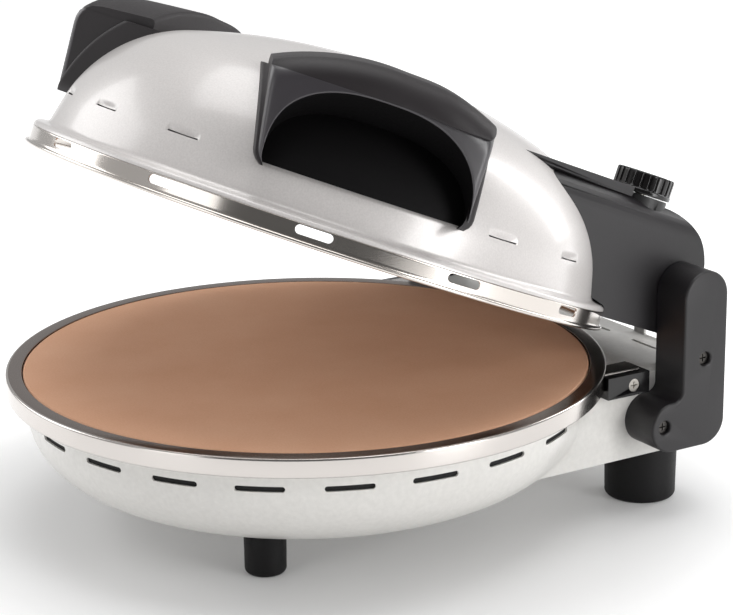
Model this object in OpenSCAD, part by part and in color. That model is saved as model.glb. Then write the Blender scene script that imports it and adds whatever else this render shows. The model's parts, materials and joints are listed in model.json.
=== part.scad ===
// Electric pizza maker: a stone in a round steel pan, under a domed lid on two upright hinge arms.
// +X is the side with the knob, -Y is the front, +Z is up, and the feet stand on z = 0.

/* [Base] */
// Height of the trim ring's top face above the table
ring_z = 91; // [86:1:110]
// Outer radius of the trim ring
ring_r = 176.8; // [170:0.2:190]
// Height of the trim ring's skirt
ring_skirt = 11; // [8:0.5:14]
// Width of the steel lip round the stone
ring_lip = 9.2; // [7:0.2:12]
// Thickness of the polished steel sheet
steel_t = 0.8; // [0.6:0.1:1.2]
// Set-back of the pan's wall from the ring's edge
pan_inset = 11.8; // [9:0.2:16]
// Depth of the pan below the ring's top face
pan_depth = 68; // [62:1:72]
// Thickness of the painted pan and tail sheet
pan_t = 1.2; // [0.8:0.1:1.6]
// Thickness of the baking stone
stone_t = 12; // [10:0.5:14]
// Gap round the edge of the stone
stone_gap = 1; // [0.5:0.1:2]
// Length of a vent slot in the pan
pan_slot_l = 27.5; // [20:0.5:32]
// Height of a vent slot in the pan
pan_slot_h = 3.2; // [2.5:0.1:4.5]
// Depth of the pan's slots below the ring's top face
pan_slot_drop = 21.5; // [18:0.5:26]
// Angle between two slots of the pan
pan_slot_step = 16.8; // [14:0.2:20]

/* [Tail] */
// Set-back of the tail's sides from the ring's widest point
tail_inset = 56.8; // [50:0.2:64]
// Reach of the tail behind the ring
tail_reach = 27.2; // [23:0.2:35]
// Drop from the ring's top face to the tail's top
tail_drop = 4; // [3:0.5:7]
// Drop from the ring's top face to the tail's bottom edge
tail_depth = 57; // [52:1:60]
// Radius along the tail's top edges
tail_edge_r = 8; // [4:1:12]
// Radius of the tail's upright back corners
tail_corner_r = 12; // [6:1:18]

/* [Feet] */
// Radius of a front foot
front_foot_r = 12.3; // [10:0.1:14]
// Radius of a rear foot
rear_foot_r = 21.8; // [18:0.1:22]
// Set-back of a front foot from the ring's edge
front_foot_inset = 66.5; // [60:0.5:76]
// Angle of a front foot in front of straight sideways
front_foot_turn = 43.5; // [38:0.5:50]
// Set-back of a rear foot's middle from the back of the tail
rear_foot_inset = 29; // [25:1:33]

/* [Hinge] */
// Angle that the lid stands open at rest
lid_open = 22.4; // [10:0.2:60]
// Distance of the hinge axis behind the ring's edge
hinge_set = 11.7; // [9:0.1:15]
// Height of the hinge axis above the ring's top face
hinge_up = 21; // [18:0.5:26]
// Radius of a hinge pin
pin_r = 5; // [4:0.1:6]
// Radial clearance of a running fit
run_gap = 0.05; // [0.03:0.01:0.08]
// Gap between the lid's parts and the base's parts at the hinge
side_gap = 0.6; // [0.4:0.1:1]
// Thickness of a moulded hinge arm, from bracket to outer face
arm_t = 23.5; // [18:0.5:28]
// Thickness of a steel hinge bracket
bracket_t = 2.5; // [2:0.1:3.5]
// Width of an arm, front to back
arm_w = 31.4; // [29:0.2:36]
// Top of an arm above the ring's top face
arm_top = 57.6; // [52:0.2:64]
// Radius of the toe at an arm's foot
toe_r = 15; // [12:0.5:17]
// Drop from the ring's top face to the middle of the toe
toe_drop = 33; // [30:1:38]
// Reach of the toe in front of the arm's front edge
toe_reach = 22; // [18:0.5:26]

/* [Lid] */
// Set-back of the lid's rim band from the ring's edge
rim_inset = 2.8; // [1:0.1:6]
// Reach of the rolled flange past the rim band
flange_out = 2; // [1.4:0.1:4]
// Height of the rim's top above the ring's top face
rim_h = 12; // [10:0.5:15]
// Gap between the closed lid and the trim ring
lid_gap = 1; // [0.6:0.1:2]
// Set-back of the dome's wall from the rim band
dome_inset = 8.6; // [7:0.2:12]
// Height of the dome's top above the ring's top face
dome_h = 106.8; // [98:0.2:116]
// Inward lean of the dome's wall
dome_lean = 13.4; // [6:0.2:16]
// Radius of the curve between wall and crown
shoulder_r = 84; // [70:1:90]
// Radius of the crown, seen from the side
crown_r = 353; // [300:1:800]
// Thickness of the dome's sheet
dome_t = 1; // [0.8:0.1:1.4]
// Length of a slot in the rim band
rim_slot_l = 20.5; // [14:0.5:26]
// Height of a slot in the rim band
rim_slot_h = 5; // [4:0.1:5.4]
// Number of pressed louvres round the dome
louvre_n = 16; // [12:1:20]

/* [Handles] */
// Angle of a handle in front of straight sideways
handle_turn = 29; // [20:1:35]
// Half length of a handle
handle_half = 64; // [58:1:68]
// Height of a handle's lower edge above the ring's top face
handle_low = 35; // [32:1:40]
// Height of the brow's lower edge above the ring's top face
handle_brow = 82; // [78:1:85]
// Height of the brow's top, in the middle, above the ring's top face
handle_top = 102.3; // [98:0.1:108]
// Rise of the brow's arch, from its ends to its middle
handle_arch = 14; // [8:1:18]
// How far a handle's middle stands out past the rim band
handle_out = 0; // [-6:0.5:8]
// Bow of the outer face, from the ends to the middle
handle_bow = 8; // [4:0.5:14]
// Depth of a handle, from its outer face to its back wall
handle_depth = 64; // [56:1:70]
// Radius along the brow's outer edge
handle_edge_r = 14; // [8:0.5:18]
// Wall thickness of a handle
handle_t = 3; // [2.5:0.1:4]

/* [Control box] */
// Height of the control box's top above the ring's top face
box_top = 80; // [76:1:84]
// Height of its lower edge above the ring's top face
box_low = 9; // [8:0.5:12]
// Reach of its back wall behind the hinge axis
box_over = 3.5; // [2:0.5:8]
// Radius of the back's upper curve
box_back_r = 38; // [30:1:42]
// Radius along its side edges
box_edge_r = 13; // [8:0.5:16]
// Wall thickness of the control box
box_t = 2.5; // [2:0.1:3.2]
// Thickness of the raised top panel
panel_t = 5.5; // [4:0.5:7]

/* [Knob] */
// Radius of the thermostat knob
knob_r = 17.7; // [14:0.1:19]
// Height of the knob
knob_h = 12.5; // [10:0.5:16]
// Set-back of the knob from the tail's side
knob_side = 21; // [20:0.5:30]
// Set-back of the knob from the control box's back wall
knob_from_back = 50; // [46:1:54]
// Height of the collar above the control box
collar_h = 2.6; // [1.5:0.1:5]
// Radius of the thermostat's spindle
spindle_r = 3; // [2.5:0.1:3.5]

/* [Heaters] */
// Set-back of a heater's loop from the pan's wall
heater_inset = 61; // [50:1:75]
// Radius of a heater's tube
heater_tube_r = 3.3; // [3:0.1:4]
// Depth of the lower heater below the ring's top face
heater_low_drop = 26; // [24:1:30]
// Depth of the lower reflector's flat below the ring's top face
reflector_drop = 42; // [38:1:46]
// Height of the upper heater above the ring's top face
heater_high = 33; // [28:1:38]
// Height of the upper reflector's flat above the ring's top face
reflector_high = 50; // [46:1:56]

/* [Hidden] */

$fn = 96;
eps = 0.01;
far = 400;                                   // longer than anything that a cut has to pass
sides = [-1, 1];

// Places that follow from the ring's size
pan_r = ring_r - pan_inset;
tail_half = ring_r - tail_inset;
tail_back = ring_r + tail_reach;
hinge_y = ring_r + hinge_set;
rim_r = ring_r - rim_inset;
flange_r = rim_r + flange_out;
dome_r = rim_r - dome_inset;
box_back = hinge_y + box_over;
knob_x = tail_half - knob_side;
knob_y = box_back - knob_from_back;
front_foot_x = (ring_r - front_foot_inset) * cos(front_foot_turn);
front_foot_y = (ring_r - front_foot_inset) * sin(front_foot_turn);
rear_foot_x = tail_half - rear_foot_r - 0.2;
rear_foot_y = tail_back - rear_foot_inset;
heater_loop_r = pan_r - heater_inset;

// Base heights, above the table
pan_z = ring_z - pan_depth;
tail_top = ring_z - tail_drop;
tail_z = ring_z - tail_depth;
ledge_z = ring_z - stone_t;                  // top of the ledge that carries the stone
ledge_r = ring_r - ring_lip + stone_gap;     // outer radius of the ledge's upstand
stone_r = ring_r - ring_lip - stone_gap;
reflector_z = ring_z - reflector_drop;
heater_low_z = ring_z - heater_low_drop;
pan_wall_drop = 24;                          // the pan's wall is upright down to here
pan_round = 63;                              // the curve from wall to floor is this wide
pan_floor_r = pan_r - pan_round;
ring_roll_r = 1.5;                           // the ring's outer edge is rolled to this radius
pan_flange_r = ring_r - 2 * ring_roll_r - 0.6;

// Hinge
hinge_z = ring_z + hinge_up;
arm_front = hinge_y + 10 - arm_w;
arm_back = arm_front + arm_w;
bracket_x = tail_half;
arm_x = bracket_x + bracket_t;
arm_out = arm_x + arm_t;
toe_z = ring_z - toe_drop;
knuckle_r = pin_r + 4.5;
knuckle_l = 16;
box_half = tail_half - side_gap;
screw_r = 2;
screw_free_r = screw_r + run_gap;            // a hole that a screw passes through freely
screw_head_r = 4;
screw_sink = 5;
arm_screw_spots = [[arm_front + arm_w / 2, ring_z + 5], [arm_front - toe_reach + toe_r - 6, toe_z + 1]];

// The whole part's middle, front to back, so that the origin is under it
lid_back = hinge_y + (box_back - box_back_r - hinge_y) * cos(lid_open)
  + (box_top - box_back_r - hinge_up) * sin(lid_open) + box_back_r;
gland_out = 6;
gland_in = 6;
back_most = max(lid_back, tail_back + gland_out);
y_mid = (back_most - ring_r) / 2;

function arc(c, r, a0, a1, n = 10) =
  [for (i = [0:n]) c + r * [cos(a0 + (a1 - a0) * i / n), sin(a0 + (a1 - a0) * i / n)]];
function flip(points) = [for (i = [len(points) - 1:-1:0]) points[i]];

// Everything is drawn round the dome's axis, and moved so that the origin is under the middle
module seat() translate([0, -y_mid, 0]) children();

// The lid's pieces are drawn closed, with z = 0 at the ring's top face, and swung open about the hinge
module lid_seat()
  seat() translate([0, hinge_y, hinge_z]) rotate([-lid_open, 0, 0])
    translate([0, -hinge_y, -hinge_up]) children();

// A flat outline in (y, z), run from x0 to x1
module run_x(x0, x1) translate([x0, 0, 0]) rotate([90, 0, 90]) linear_extrude(x1 - x0) children();
// A flat outline in (x, z), run from y0 to y1
module run_y(y0, y1) translate([0, y1, 0]) rotate([90, 0, 0]) linear_extrude(y1 - y0) children();
// A flat outline in (x, y), run from z0 to z1
module run_z(z0, z1) translate([0, 0, z0]) linear_extrude(z1 - z0) children();

module stadium(l, h) {
  square([l - h, h], center = true);
  for (s = sides) translate([s * (l - h) / 2, 0]) circle(h / 2, $fn = 24);
}

// A slot cut outwards through a round wall, at angle a and height z
module round_slot(a, z, l, h, r0, r1)
  rotate([0, 0, a + 90]) translate([0, -r0, z]) rotate([90, 0, 0]) linear_extrude(r1 - r0) stadium(l, h);

module tube(r_out, r_in, z0, z1) translate([0, 0, z0]) difference() {
  cylinder(z1 - z0, r_out, r_out);
  translate([0, 0, -1]) cylinder(z1 - z0 + 2, r_in, r_in);
}

// ---- base ----

// Outer line of the pan, from the floor's middle to the ledge, moved in by d
function pan_line(d) =
  let (side = pan_r - pan_floor_r, low = pan_depth - pan_wall_drop)
  concat([[0, pan_z + d]],
    [for (i = [0:12]) let (a = -90 + 90 * i / 12)
      [pan_floor_r + (side - d) * cos(a), ring_z - pan_wall_drop + (low - d) * sin(a)]],
    [[pan_r - d, ledge_z - pan_t]]);

module pan_body() rotate_extrude() polygon(concat(pan_line(0), [[0, ledge_z - pan_t]]));

module ring_room(gap = 0.2) {
  room_r = ledge_r + pan_t + gap;
  translate([0, 0, ring_z - ring_skirt - gap]) cylinder(ring_skirt + far, ring_r + gap, ring_r + gap);
  translate([0, 0, ledge_z - pan_t - gap]) cylinder(stone_t, room_r, room_r);
}

module base_pan() color("gainsboro") seat() difference() {
  rotate_extrude() polygon(concat(pan_line(0),
    [[ledge_r + pan_t, ledge_z - pan_t], [ledge_r + pan_t, ring_z - steel_t - pan_t],
     [pan_flange_r, ring_z - steel_t - pan_t], [pan_flange_r, ring_z - steel_t],
     [ledge_r, ring_z - steel_t], [ledge_r, ledge_z], [pan_r - pan_t, ledge_z]],
    flip(pan_line(pan_t))));
  for (k = [-7:7])
    round_slot(-90 + k * pan_slot_step, ring_z - pan_slot_drop, pan_slot_l, pan_slot_h,
      pan_r - 12, pan_r + 5);
  for (s = sides) {
    translate([s * front_foot_x, -front_foot_y, 0]) cylinder(ring_z, screw_free_r, screw_free_r);
    translate([s * leg_spread, pan_r - 12, leg_z]) rotate([-90, 0, 0]) cylinder(24, leg_hole_r, leg_hole_r);
  }
}

// The heaters' legs run back side by side through the pan's wall
leg_spread = 14;
leg_hole_r = heater_tube_r + 2;
leg_z = heater_low_z - 8;

module lower_reflector() color("silver") seat() difference() {
  rotate_extrude() polygon([[0, reflector_z], [reflector_flat_r, reflector_z],
    [reflector_rim_r, reflector_edge_z], [reflector_rim_r, reflector_top_z],
    [reflector_rim_r - steel_t, reflector_top_z],
    [reflector_rim_r - steel_t, reflector_edge_z + steel_t / 2],
    [reflector_flat_r, reflector_z + steel_t], [0, reflector_z + steel_t]]);
  for (s = sides)
    translate([s * leg_spread, heater_loop_r, leg_z])
      rotate([-90, 0, 0]) cylinder(far, leg_hole_r, leg_hole_r);
}

reflector_rim_r = pan_r - pan_t;
reflector_flat_r = heater_loop_r + 24;
reflector_edge_z = reflector_z + 18;
reflector_top_z = reflector_edge_z + 6;

// A heater's open loop, with its two ends near the back
module heater_loop(z, gap_angle) {
  rotate([0, 0, 90 + gap_angle]) translate([0, 0, z])
    rotate_extrude(angle = 360 - 2 * gap_angle) translate([heater_loop_r, 0])
      circle(heater_tube_r, $fn = 32);
  for (s = sides) rotate([0, 0, 90 + s * gap_angle]) translate([heater_loop_r, 0, z])
    sphere(ferrule_r, $fn = 32);
}

module lower_heater() color("dimgray") seat() {
  gap_angle = asin(leg_spread / heater_loop_r);
  heater_loop(heater_low_z, gap_angle);
  for (s = sides) translate([s * leg_spread, heater_loop_r * cos(gap_angle), 0]) {
    translate([0, 0, leg_z]) cylinder(heater_low_z - leg_z, heater_tube_r, heater_tube_r, $fn = 32);
    translate([0, 0, leg_z]) sphere(ferrule_r, $fn = 32);
    translate([0, 0, leg_z]) rotate([-90, 0, 0])
      cylinder(pan_r + 12 - heater_loop_r, heater_tube_r, heater_tube_r, $fn = 32);
  }
}

// A strap that holds the tube at angle a, reaching from the tube to the reflector at z_to
module heater_clip(a, z, z_to) rotate([0, 0, a]) translate([heater_loop_r, 0, 0]) {
  low = min(z, z_to);
  bore_r = heater_tube_r + 0.2;
  difference() {
    union() {
      translate([0, clip_w / 2, z]) rotate([90, 0, 0]) cylinder(clip_w, clip_r, clip_r, $fn = 32);
      translate([-clip_r, -clip_w / 2, low]) cube([2 * clip_r, clip_w, abs(z_to - z)]);
    }
    translate([0, clip_w, z]) rotate([90, 0, 0]) cylinder(2 * clip_w, bore_r, bore_r, $fn = 32);
    translate([-clip_r + clip_t, -clip_w, low + (z_to < z ? clip_t : 0)])
      cube([2 * (clip_r - clip_t), 2 * clip_w, abs(z_to - z) - clip_t]);
  }
}
clip_t = 1.2;
clip_w = 8;
clip_r = heater_tube_r + clip_t;
ferrule_r = heater_tube_r + 0.6;

module lower_heater_clips() color("silver") seat()
  for (a = [210, 330, 40, 140]) heater_clip(a, heater_low_z, reflector_z + steel_t);

module stone() color("peru") seat() rotate_extrude()
  polygon([[0, ledge_z], [stone_r - 1, ledge_z], [stone_r, ledge_z + 1], [stone_r, ring_z - 1],
    [stone_r - 1, ring_z], [0, ring_z]]);

module trim_ring() color("lightsteelblue") seat() {
  rotate_extrude() difference() {
    union() {
      translate([ring_r - ring_lip, ring_z - steel_t]) square([ring_lip - ring_roll_r, steel_t]);
      translate([ring_r - ring_roll_r, ring_z - ring_roll_r]) circle(ring_roll_r, $fn = 32);
      translate([ring_r - steel_t, ring_z - ring_skirt]) square([steel_t, ring_skirt - ring_roll_r]);
    }
    translate([ring_r - ring_roll_r, ring_z - ring_roll_r]) circle(ring_roll_r - steel_t, $fn = 32);
    translate([ring_r - 2 * ring_roll_r, ring_z - 2 * ring_roll_r])
      square([2 * ring_roll_r - steel_t, ring_roll_r]);
    translate([ring_r - 2 * ring_roll_r - 0.5, ring_z - 2 * ring_roll_r - 0.5])
      square([ring_roll_r + 0.5, 2 * ring_roll_r + 0.5 - steel_t]);
  }
  // the two tabs that the side clips hold down
  for (s = sides) scale_x(s) difference() {
    translate([tail_half - 12, clip_y, clip_top]) cube([clip_out - 14, clip_l, steel_t]);
    translate([0, 0, clip_top - 1]) cylinder(steel_t + 2, ring_r - steel_t / 2, ring_r - steel_t / 2);
  }
}

module scale_x(s) mirror([s < 0 ? 1 : 0, 0, 0]) children();

// The side clips, where the ring meets the tail
clip_y = sqrt(ring_r * ring_r - tail_half * tail_half) - 2.84;
clip_l = 30;
clip_h = 13;
clip_out = 27;
clip_top = ring_z - 2.6;
clip_face = tail_half + 7;
clip_screw_spot = [clip_y + 19, clip_top - 7];

module ring_clips() color("#161616") seat() for (s = sides) scale_x(s) difference() {
  translate([clip_face - 20, clip_y, clip_top - clip_h]) cube([20, clip_l, clip_h]);
  tail_body();
  ring_room(0);
  pan_body();
  run_x(clip_face - screw_sink + 2, clip_face + 2) translate(clip_screw_spot) circle(screw_head_r, $fn = 32);
  clip_screw_hole();
}

module clip_screw_hole()
  run_x(tail_half - 12, clip_face + 2) translate(clip_screw_spot) circle(screw_r, $fn = 32);

// A cross-head screw along +X: its head's top at x = 0, its shank going in
module screw_x(length, head_h = 2.4) rotate([0, -90, 0]) difference() {
  union() {
    cylinder(head_h, screw_head_r - 0.2, screw_head_r - 0.2, $fn = 32);
    cylinder(length, screw_r, screw_r, $fn = 32);
  }
  for (a = [0, 90]) rotate([0, 0, a]) translate([-2.2, -0.4, -1]) cube([4.4, 0.8, 2.2]);
}

module clip_screws() color("silver") seat() for (s = sides) scale_x(s)
  translate([clip_face - screw_sink + 4.4, clip_screw_spot[0], clip_screw_spot[1]]) screw_x(9);

// ---- tail ----

tail_h = tail_top - tail_z;
tail_front = pan_r / 3;                      // deep inside the pan, where the cuts take it away
tail_l = tail_back - tail_front;

// Solid form of the tail, moved in by d
module tail_body(d = 0) {
  r = tail_edge_r - d;
  intersection() {
    run_y(tail_front, tail_back - d) {
      translate([d - tail_half, tail_z - 1]) square([2 * (tail_half - d), tail_h - tail_edge_r + 1]);
      translate([tail_edge_r - tail_half, tail_z]) square([2 * (tail_half - tail_edge_r), tail_h - d]);
      for (s = sides) translate([s * (tail_half - tail_edge_r), tail_top - tail_edge_r])
        circle(r, $fn = 48);
    }
    run_z(tail_z - (d > 0 ? 1 : 0), tail_top + 1) {
      translate([d - tail_half, tail_front]) square([2 * (tail_half - d), tail_l - tail_corner_r]);
      translate([tail_corner_r - tail_half, tail_front])
        square([2 * (tail_half - tail_corner_r), tail_l - d]);
      for (s = sides) translate([s * (tail_half - tail_corner_r), tail_back - tail_corner_r])
        circle(tail_corner_r - d, $fn = 48);
    }
  }
}

gland_x = tail_half / 3;
gland_z = tail_z + 18;
gland_r = 8;
cord_r = 3.6;
lug_x = tail_half / 2;
vent_spots = [0.29 * tail_half, 0.67 * tail_half];

module rear_housing() color("whitesmoke") seat() {
  difference() {
    tail_body();
    tail_body(pan_t);
    pan_body();
    ring_room();
    // vents along the back of the top
    for (s = sides, x = vent_spots) translate([s * x, tail_back - 14, tail_top - 3])
      linear_extrude(6) stadium(24, 2.4);
    translate([-gland_x, tail_back - 5, gland_z]) rotate([-90, 0, 0]) cylinder(10, gland_r, gland_r);
    for (s = sides) scale_x(s) {
      run_x(tail_half - 15, tail_half + 5) translate(arm_screw_spots[1]) circle(screw_r, $fn = 32);
      clip_screw_hole();
    }
  }
  // two lugs that the open lid's housing rests against
  for (s = sides) translate([s * lug_x - 5, tail_back - 1.5, tail_top - 6]) cube([10, 1.5, 14]);
}

module rear_bottom_cover() color("gray") seat() difference() {
  intersection() {
    tail_body(pan_t);
    translate([-far / 2, 0, tail_z]) cube([far, far, pan_t]);
  }
  pan_body();
  for (i = [-3:3]) translate([i * tail_half / 6, tail_back - 26, tail_z - 5])
    rotate([0, 0, 90]) linear_extrude(10) stadium(24, 3);
  for (s = sides) translate([s * rear_foot_x, rear_foot_y, 0])
    cylinder(ring_z, screw_free_r, screw_free_r, $fn = 32);
}

module terminal_block() color("ivory") seat() difference() {
  translate([-gland_x - 22, tail_back - 28, tail_z + pan_t]) cube([30, 14, 12]);
  for (i = [0:2]) translate([-gland_x - 17 + 10 * i, tail_back - 21, tail_z + 4])
    cylinder(20, 2.4, 2.4, $fn = 32);
}

module cord_gland() color("#1c1c1c") seat() translate([-gland_x, tail_back, gland_z]) rotate([-90, 0, 0])
  difference() {
    union() {
      translate([0, 0, -gland_in]) cylinder(gland_in + gland_out, gland_r, gland_r);
      cylinder(gland_out / 2, gland_r + 3, gland_r + 3);
      translate([0, 0, -gland_in]) cylinder(gland_in - pan_t, gland_r + 2, gland_r + 2);
    }
    translate([0, 0, -gland_in - 1]) cylinder(gland_in + gland_out + 2, cord_r, cord_r);
  }

// ---- hinge ----

// The arm's upright boot shape in (y, z), moved in by d
module arm_outline(d = 0) {
  r = arm_w / 2;
  toe_y = arm_front - toe_reach + toe_r;
  heel_y = arm_back - toe_r;
  fillet = 6 + d;
  translate([arm_front + r, ring_z + arm_top - r]) circle(r - d);
  translate([arm_front + d, toe_z]) square([arm_w - 2 * d, arm_top + toe_drop - r]);
  for (y = [toe_y, heel_y]) translate([y, toe_z]) circle(toe_r - d);
  translate([toe_y, toe_z - toe_r + d]) square([heel_y - toe_y, 2 * (toe_r - d)]);
  translate([arm_front + d - fillet, toe_z + toe_r - d - eps]) difference() {
    square([fillet + eps, fillet]);
    translate([0, fillet]) circle(fillet);
  }
}

module hinge_bracket() difference() {
  run_x(bracket_x, arm_x) arm_outline();
  hinge_bore(pin_r);
  for (p = arm_screw_spots) run_x(bracket_x - 1, arm_x + 1) translate(p) circle(screw_r, $fn = 32);
}

module hinge_bore(r) translate([0, hinge_y, hinge_z]) rotate([0, 90, 0]) cylinder(far, r, r);

module hinge_bracket_left() color("#202020") seat() scale_x(-1) hinge_bracket();
module hinge_bracket_right() color("#202020") seat() hinge_bracket();

pin_in = tail_half - side_gap - knuckle_l + 1;
pin_out = arm_x + 10;

module hinge_pins() color("silver") seat() for (s = sides) scale_x(s)
  translate([pin_in, hinge_y, hinge_z]) rotate([0, 90, 0]) cylinder(pin_out - pin_in, pin_r, pin_r);

module hinge_arm() difference() {
  union() {
    difference() {
      run_x(arm_x, arm_out) arm_outline();
      run_x(arm_x - 1, arm_out - 3) arm_outline(3);
    }
    // posts for the screws and the pin, and the ribs between them
    for (p = arm_screw_spots) run_x(arm_x, arm_out - 1) translate(p) circle(screw_head_r + 2.2, $fn = 48);
    intersection() {
      run_x(arm_x, arm_out - 1) arm_outline(1);
      union() {
        run_x(arm_x, arm_out - 1) translate([hinge_y, hinge_z]) circle(pin_r + 2.5, $fn = 48);
        for (z = [ring_z - 16, ring_z + 38]) run_x(arm_x, arm_out - 1)
          translate([arm_front, z]) square([arm_w, 2]);
      }
    }
  }
  translate([0, hinge_y, hinge_z]) rotate([0, 90, 0]) cylinder(pin_out + 0.5, pin_r, pin_r);
  for (p = arm_screw_spots) {
    run_x(arm_x - 1, arm_out + 1) translate(p) circle(screw_r, $fn = 32);
    run_x(arm_out - screw_sink, arm_out + 1) translate(p) circle(screw_head_r, $fn = 48);
  }
}

module hinge_arm_left() color("#3a3836") seat() scale_x(-1) hinge_arm();
module hinge_arm_right() color("#3a3836") seat() hinge_arm();

module arm_screws() color("silver") seat() for (s = sides, p = arm_screw_spots) scale_x(s)
  translate([arm_out - screw_sink + 2.4, p[0], p[1]]) screw_x(arm_t + bracket_t);

// ---- feet ----

module foot(r, h) rotate_extrude() polygon(concat([[screw_head_r + 1, 0]],
  arc([r - 3.5, 3], 3, -90, 0, 6), [[r, h], [screw_r + run_gap, h], [screw_r + run_gap, 9],
  [screw_head_r + 1, 9]]));

module front_feet() color("#141414") seat() for (s = sides) difference() {
  translate([s * front_foot_x, -front_foot_y, 0]) foot(front_foot_r, ring_z - 40);
  pan_body();
}

module rear_feet() color("#141414") seat() for (s = sides)
  translate([s * rear_foot_x, rear_foot_y, 0]) foot(rear_foot_r, tail_z);

module foot_screw(length) translate([0, 0, 9 - 2.4]) difference() {
  union() {
    cylinder(2.4, screw_head_r, screw_head_r, $fn = 32);
    cylinder(length, screw_r, screw_r, $fn = 32);
  }
  for (a = [0, 90]) rotate([0, 0, a]) translate([-2.2, -0.4, -1]) cube([4.4, 0.8, 2.2]);
}

module foot_screws() color("silver") seat() for (s = sides) {
  translate([s * front_foot_x, -front_foot_y, 0]) foot_screw(pan_z + 4);
  translate([s * rear_foot_x, rear_foot_y, 0]) foot_screw(tail_z - 2);
}

// ---- lid: drawn closed, z = 0 at the ring's top face ----

wall_z = rim_h + 6;                          // where the dome's wall begins
wall_in = [-cos(dome_lean), -sin(dome_lean)];
wall_up = [-sin(dome_lean), cos(dome_lean)];
crown_c = [0, dome_h - crown_r];
bend_from = [dome_r, wall_z] + wall_in * shoulder_r - crown_c;
bend_dot = bend_from * wall_up;
bend_run = sqrt(bend_dot * bend_dot - bend_from * bend_from + pow(crown_r - shoulder_r, 2)) - bend_dot;
bend_c = crown_c + bend_from + wall_up * bend_run;
bend_top = atan2(bend_c[1] - crown_c[1], bend_c[0]);

// Outer line of the dome, from its foot on the rim up to the middle, moved in by d
function dome_line(d) = concat([[rim_r - d, rim_h]],
  arc([rim_r - 3, rim_h + 1], 3 - d, 0, 65, 5),
  [[dome_r, wall_z] + wall_in * d],
  arc(bend_c, shoulder_r - d, dome_lean, bend_top, 12),
  [for (i = [1:4]) crown_c + (crown_r - d) * [cos(bend_top + (90 - bend_top) * i / 4),
    sin(bend_top + (90 - bend_top) * i / 4)]]);

module lid_body() {
  rotate_extrude() polygon(concat(dome_line(0), [[0, rim_h]]));
  translate([0, 0, lid_gap]) cylinder(rim_h - lid_gap + eps, rim_r, rim_r);
  translate([0, 0, -1]) cylinder(lid_gap + 3.4, flange_r, flange_r);
}

// The louvres go all round, but for those that the control box or a handle would cover
louvre_z = 34.7;
louvre_r = dome_r + (wall_z - louvre_z) * tan(dome_lean);
louvre_angles = [for (i = [0:louvre_n - 1]) let (a = -86.8 + i * 360 / louvre_n)
  if ((sin(a) < 0 || abs(cos(a)) * louvre_r > box_half + 12) && abs(asin(-sin(a)) - handle_turn) > 27) a];

module lid_dome() color("lightgray") lid_seat() difference() {
  union() {
    rotate_extrude() polygon(concat(dome_line(0), flip(dome_line(dome_t))));
    for (a = louvre_angles) rotate([0, 0, a - 2.6]) translate([0, 0, louvre_z])
      rotate_extrude(angle = 5.2) translate([louvre_r - 0.6, 0]) circle(2, $fn = 24);
  }
  for (a = louvre_angles)
    round_slot(a, louvre_z - 0.6, 12, 1.4, louvre_r - 6, louvre_r + 0.4);
  for (s = sides) scale_x(s) handle_screw_seat()
    translate([0, 0, -4 * dome_t]) cylinder(8 * dome_t, screw_free_r, screw_free_r, $fn = 32);
  // the way for the wires into the control box
  translate([0, dome_r - 30, wall_z + 22]) rotate([-90, 0, 0]) cylinder(40, 9, 9);
}

module lid_rim() color("lightsteelblue") lid_seat() difference() {
  rotate_extrude() {
    translate([rim_r - steel_t, lid_gap]) square([steel_t, rim_h - lid_gap]);
    translate([dome_r - 8, rim_h - steel_t]) square([rim_r - dome_r + 8, steel_t]);
    translate([rim_r - steel_t, lid_gap]) square([flange_r - rim_r + steel_t - 1.2, steel_t]);
    translate([flange_r - 1.2, lid_gap + 1.2]) circle(1.2, $fn = 32);
  }
  for (k = [-4:4])
    round_slot(-90 + k * 28.2, rim_h - 3.4, rim_slot_l, rim_slot_h, rim_r - 8, rim_r + 6);
}

module upper_reflector() color("silver") lid_seat() difference() {
  rotate_extrude() polygon(concat(upper_dish(0), flip(upper_dish(steel_t))));
  for (s = sides) translate([s * leg_spread, heater_leg_y, 0]) cylinder(90, leg_hole_r, leg_hole_r);
}

// The dish: a flange on the rim's lip, a sloping side and a flat top
dish_flat_r = heater_loop_r + 10;
function upper_dish(d) = [[dome_r - 2, rim_h + d], [dome_r - 6, rim_h + d], [dome_r - 22, rim_h + 22 + d],
  [dish_flat_r + 10, reflector_high - 3 + d], [dish_flat_r, reflector_high + d], [0, reflector_high + d]];

heater_leg_y = sqrt(heater_loop_r * heater_loop_r - leg_spread * leg_spread);

module upper_heater() color("dimgray") lid_seat() {
  heater_loop(heater_high, asin(leg_spread / heater_loop_r));
  for (s = sides) translate([s * leg_spread, heater_leg_y, heater_high])
    cylinder(30, heater_tube_r, heater_tube_r, $fn = 32);
}

module upper_heater_clips() color("silver") lid_seat()
  for (a = [210, 330, 40, 140]) heater_clip(a, heater_high, reflector_high - 1);

// ---- handles: x runs outwards, y along the handle ----

handle_reach = rim_r + handle_out;           // the middle of the brow's outer face
handle_back = handle_reach - handle_depth;   // the wall that stands on the dome behind the brow
brow_lip = 2;                                // the brow stands this far out past the face
brow_half = handle_half - 3;
skirt_t = 13;                                // at its ends the grip thins to a skirt this thick
pocket_half = handle_half - 6;
pocket_y = 2;                                // the pocket's middle lies a little to the back
pocket_h = handle_brow + 1.8 - handle_low;
pocket_bend = 0.74;                          // a lower number makes the pocket's corners squarer
pocket_tilt = 24;                            // the pocket's ceiling slopes down inwards
hollow_half = handle_half - 24;
bow_r = (handle_half * handle_half + handle_bow * handle_bow) / (2 * handle_bow);
arch_r = (brow_half * brow_half + handle_arch * handle_arch) / (2 * handle_arch);

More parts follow.
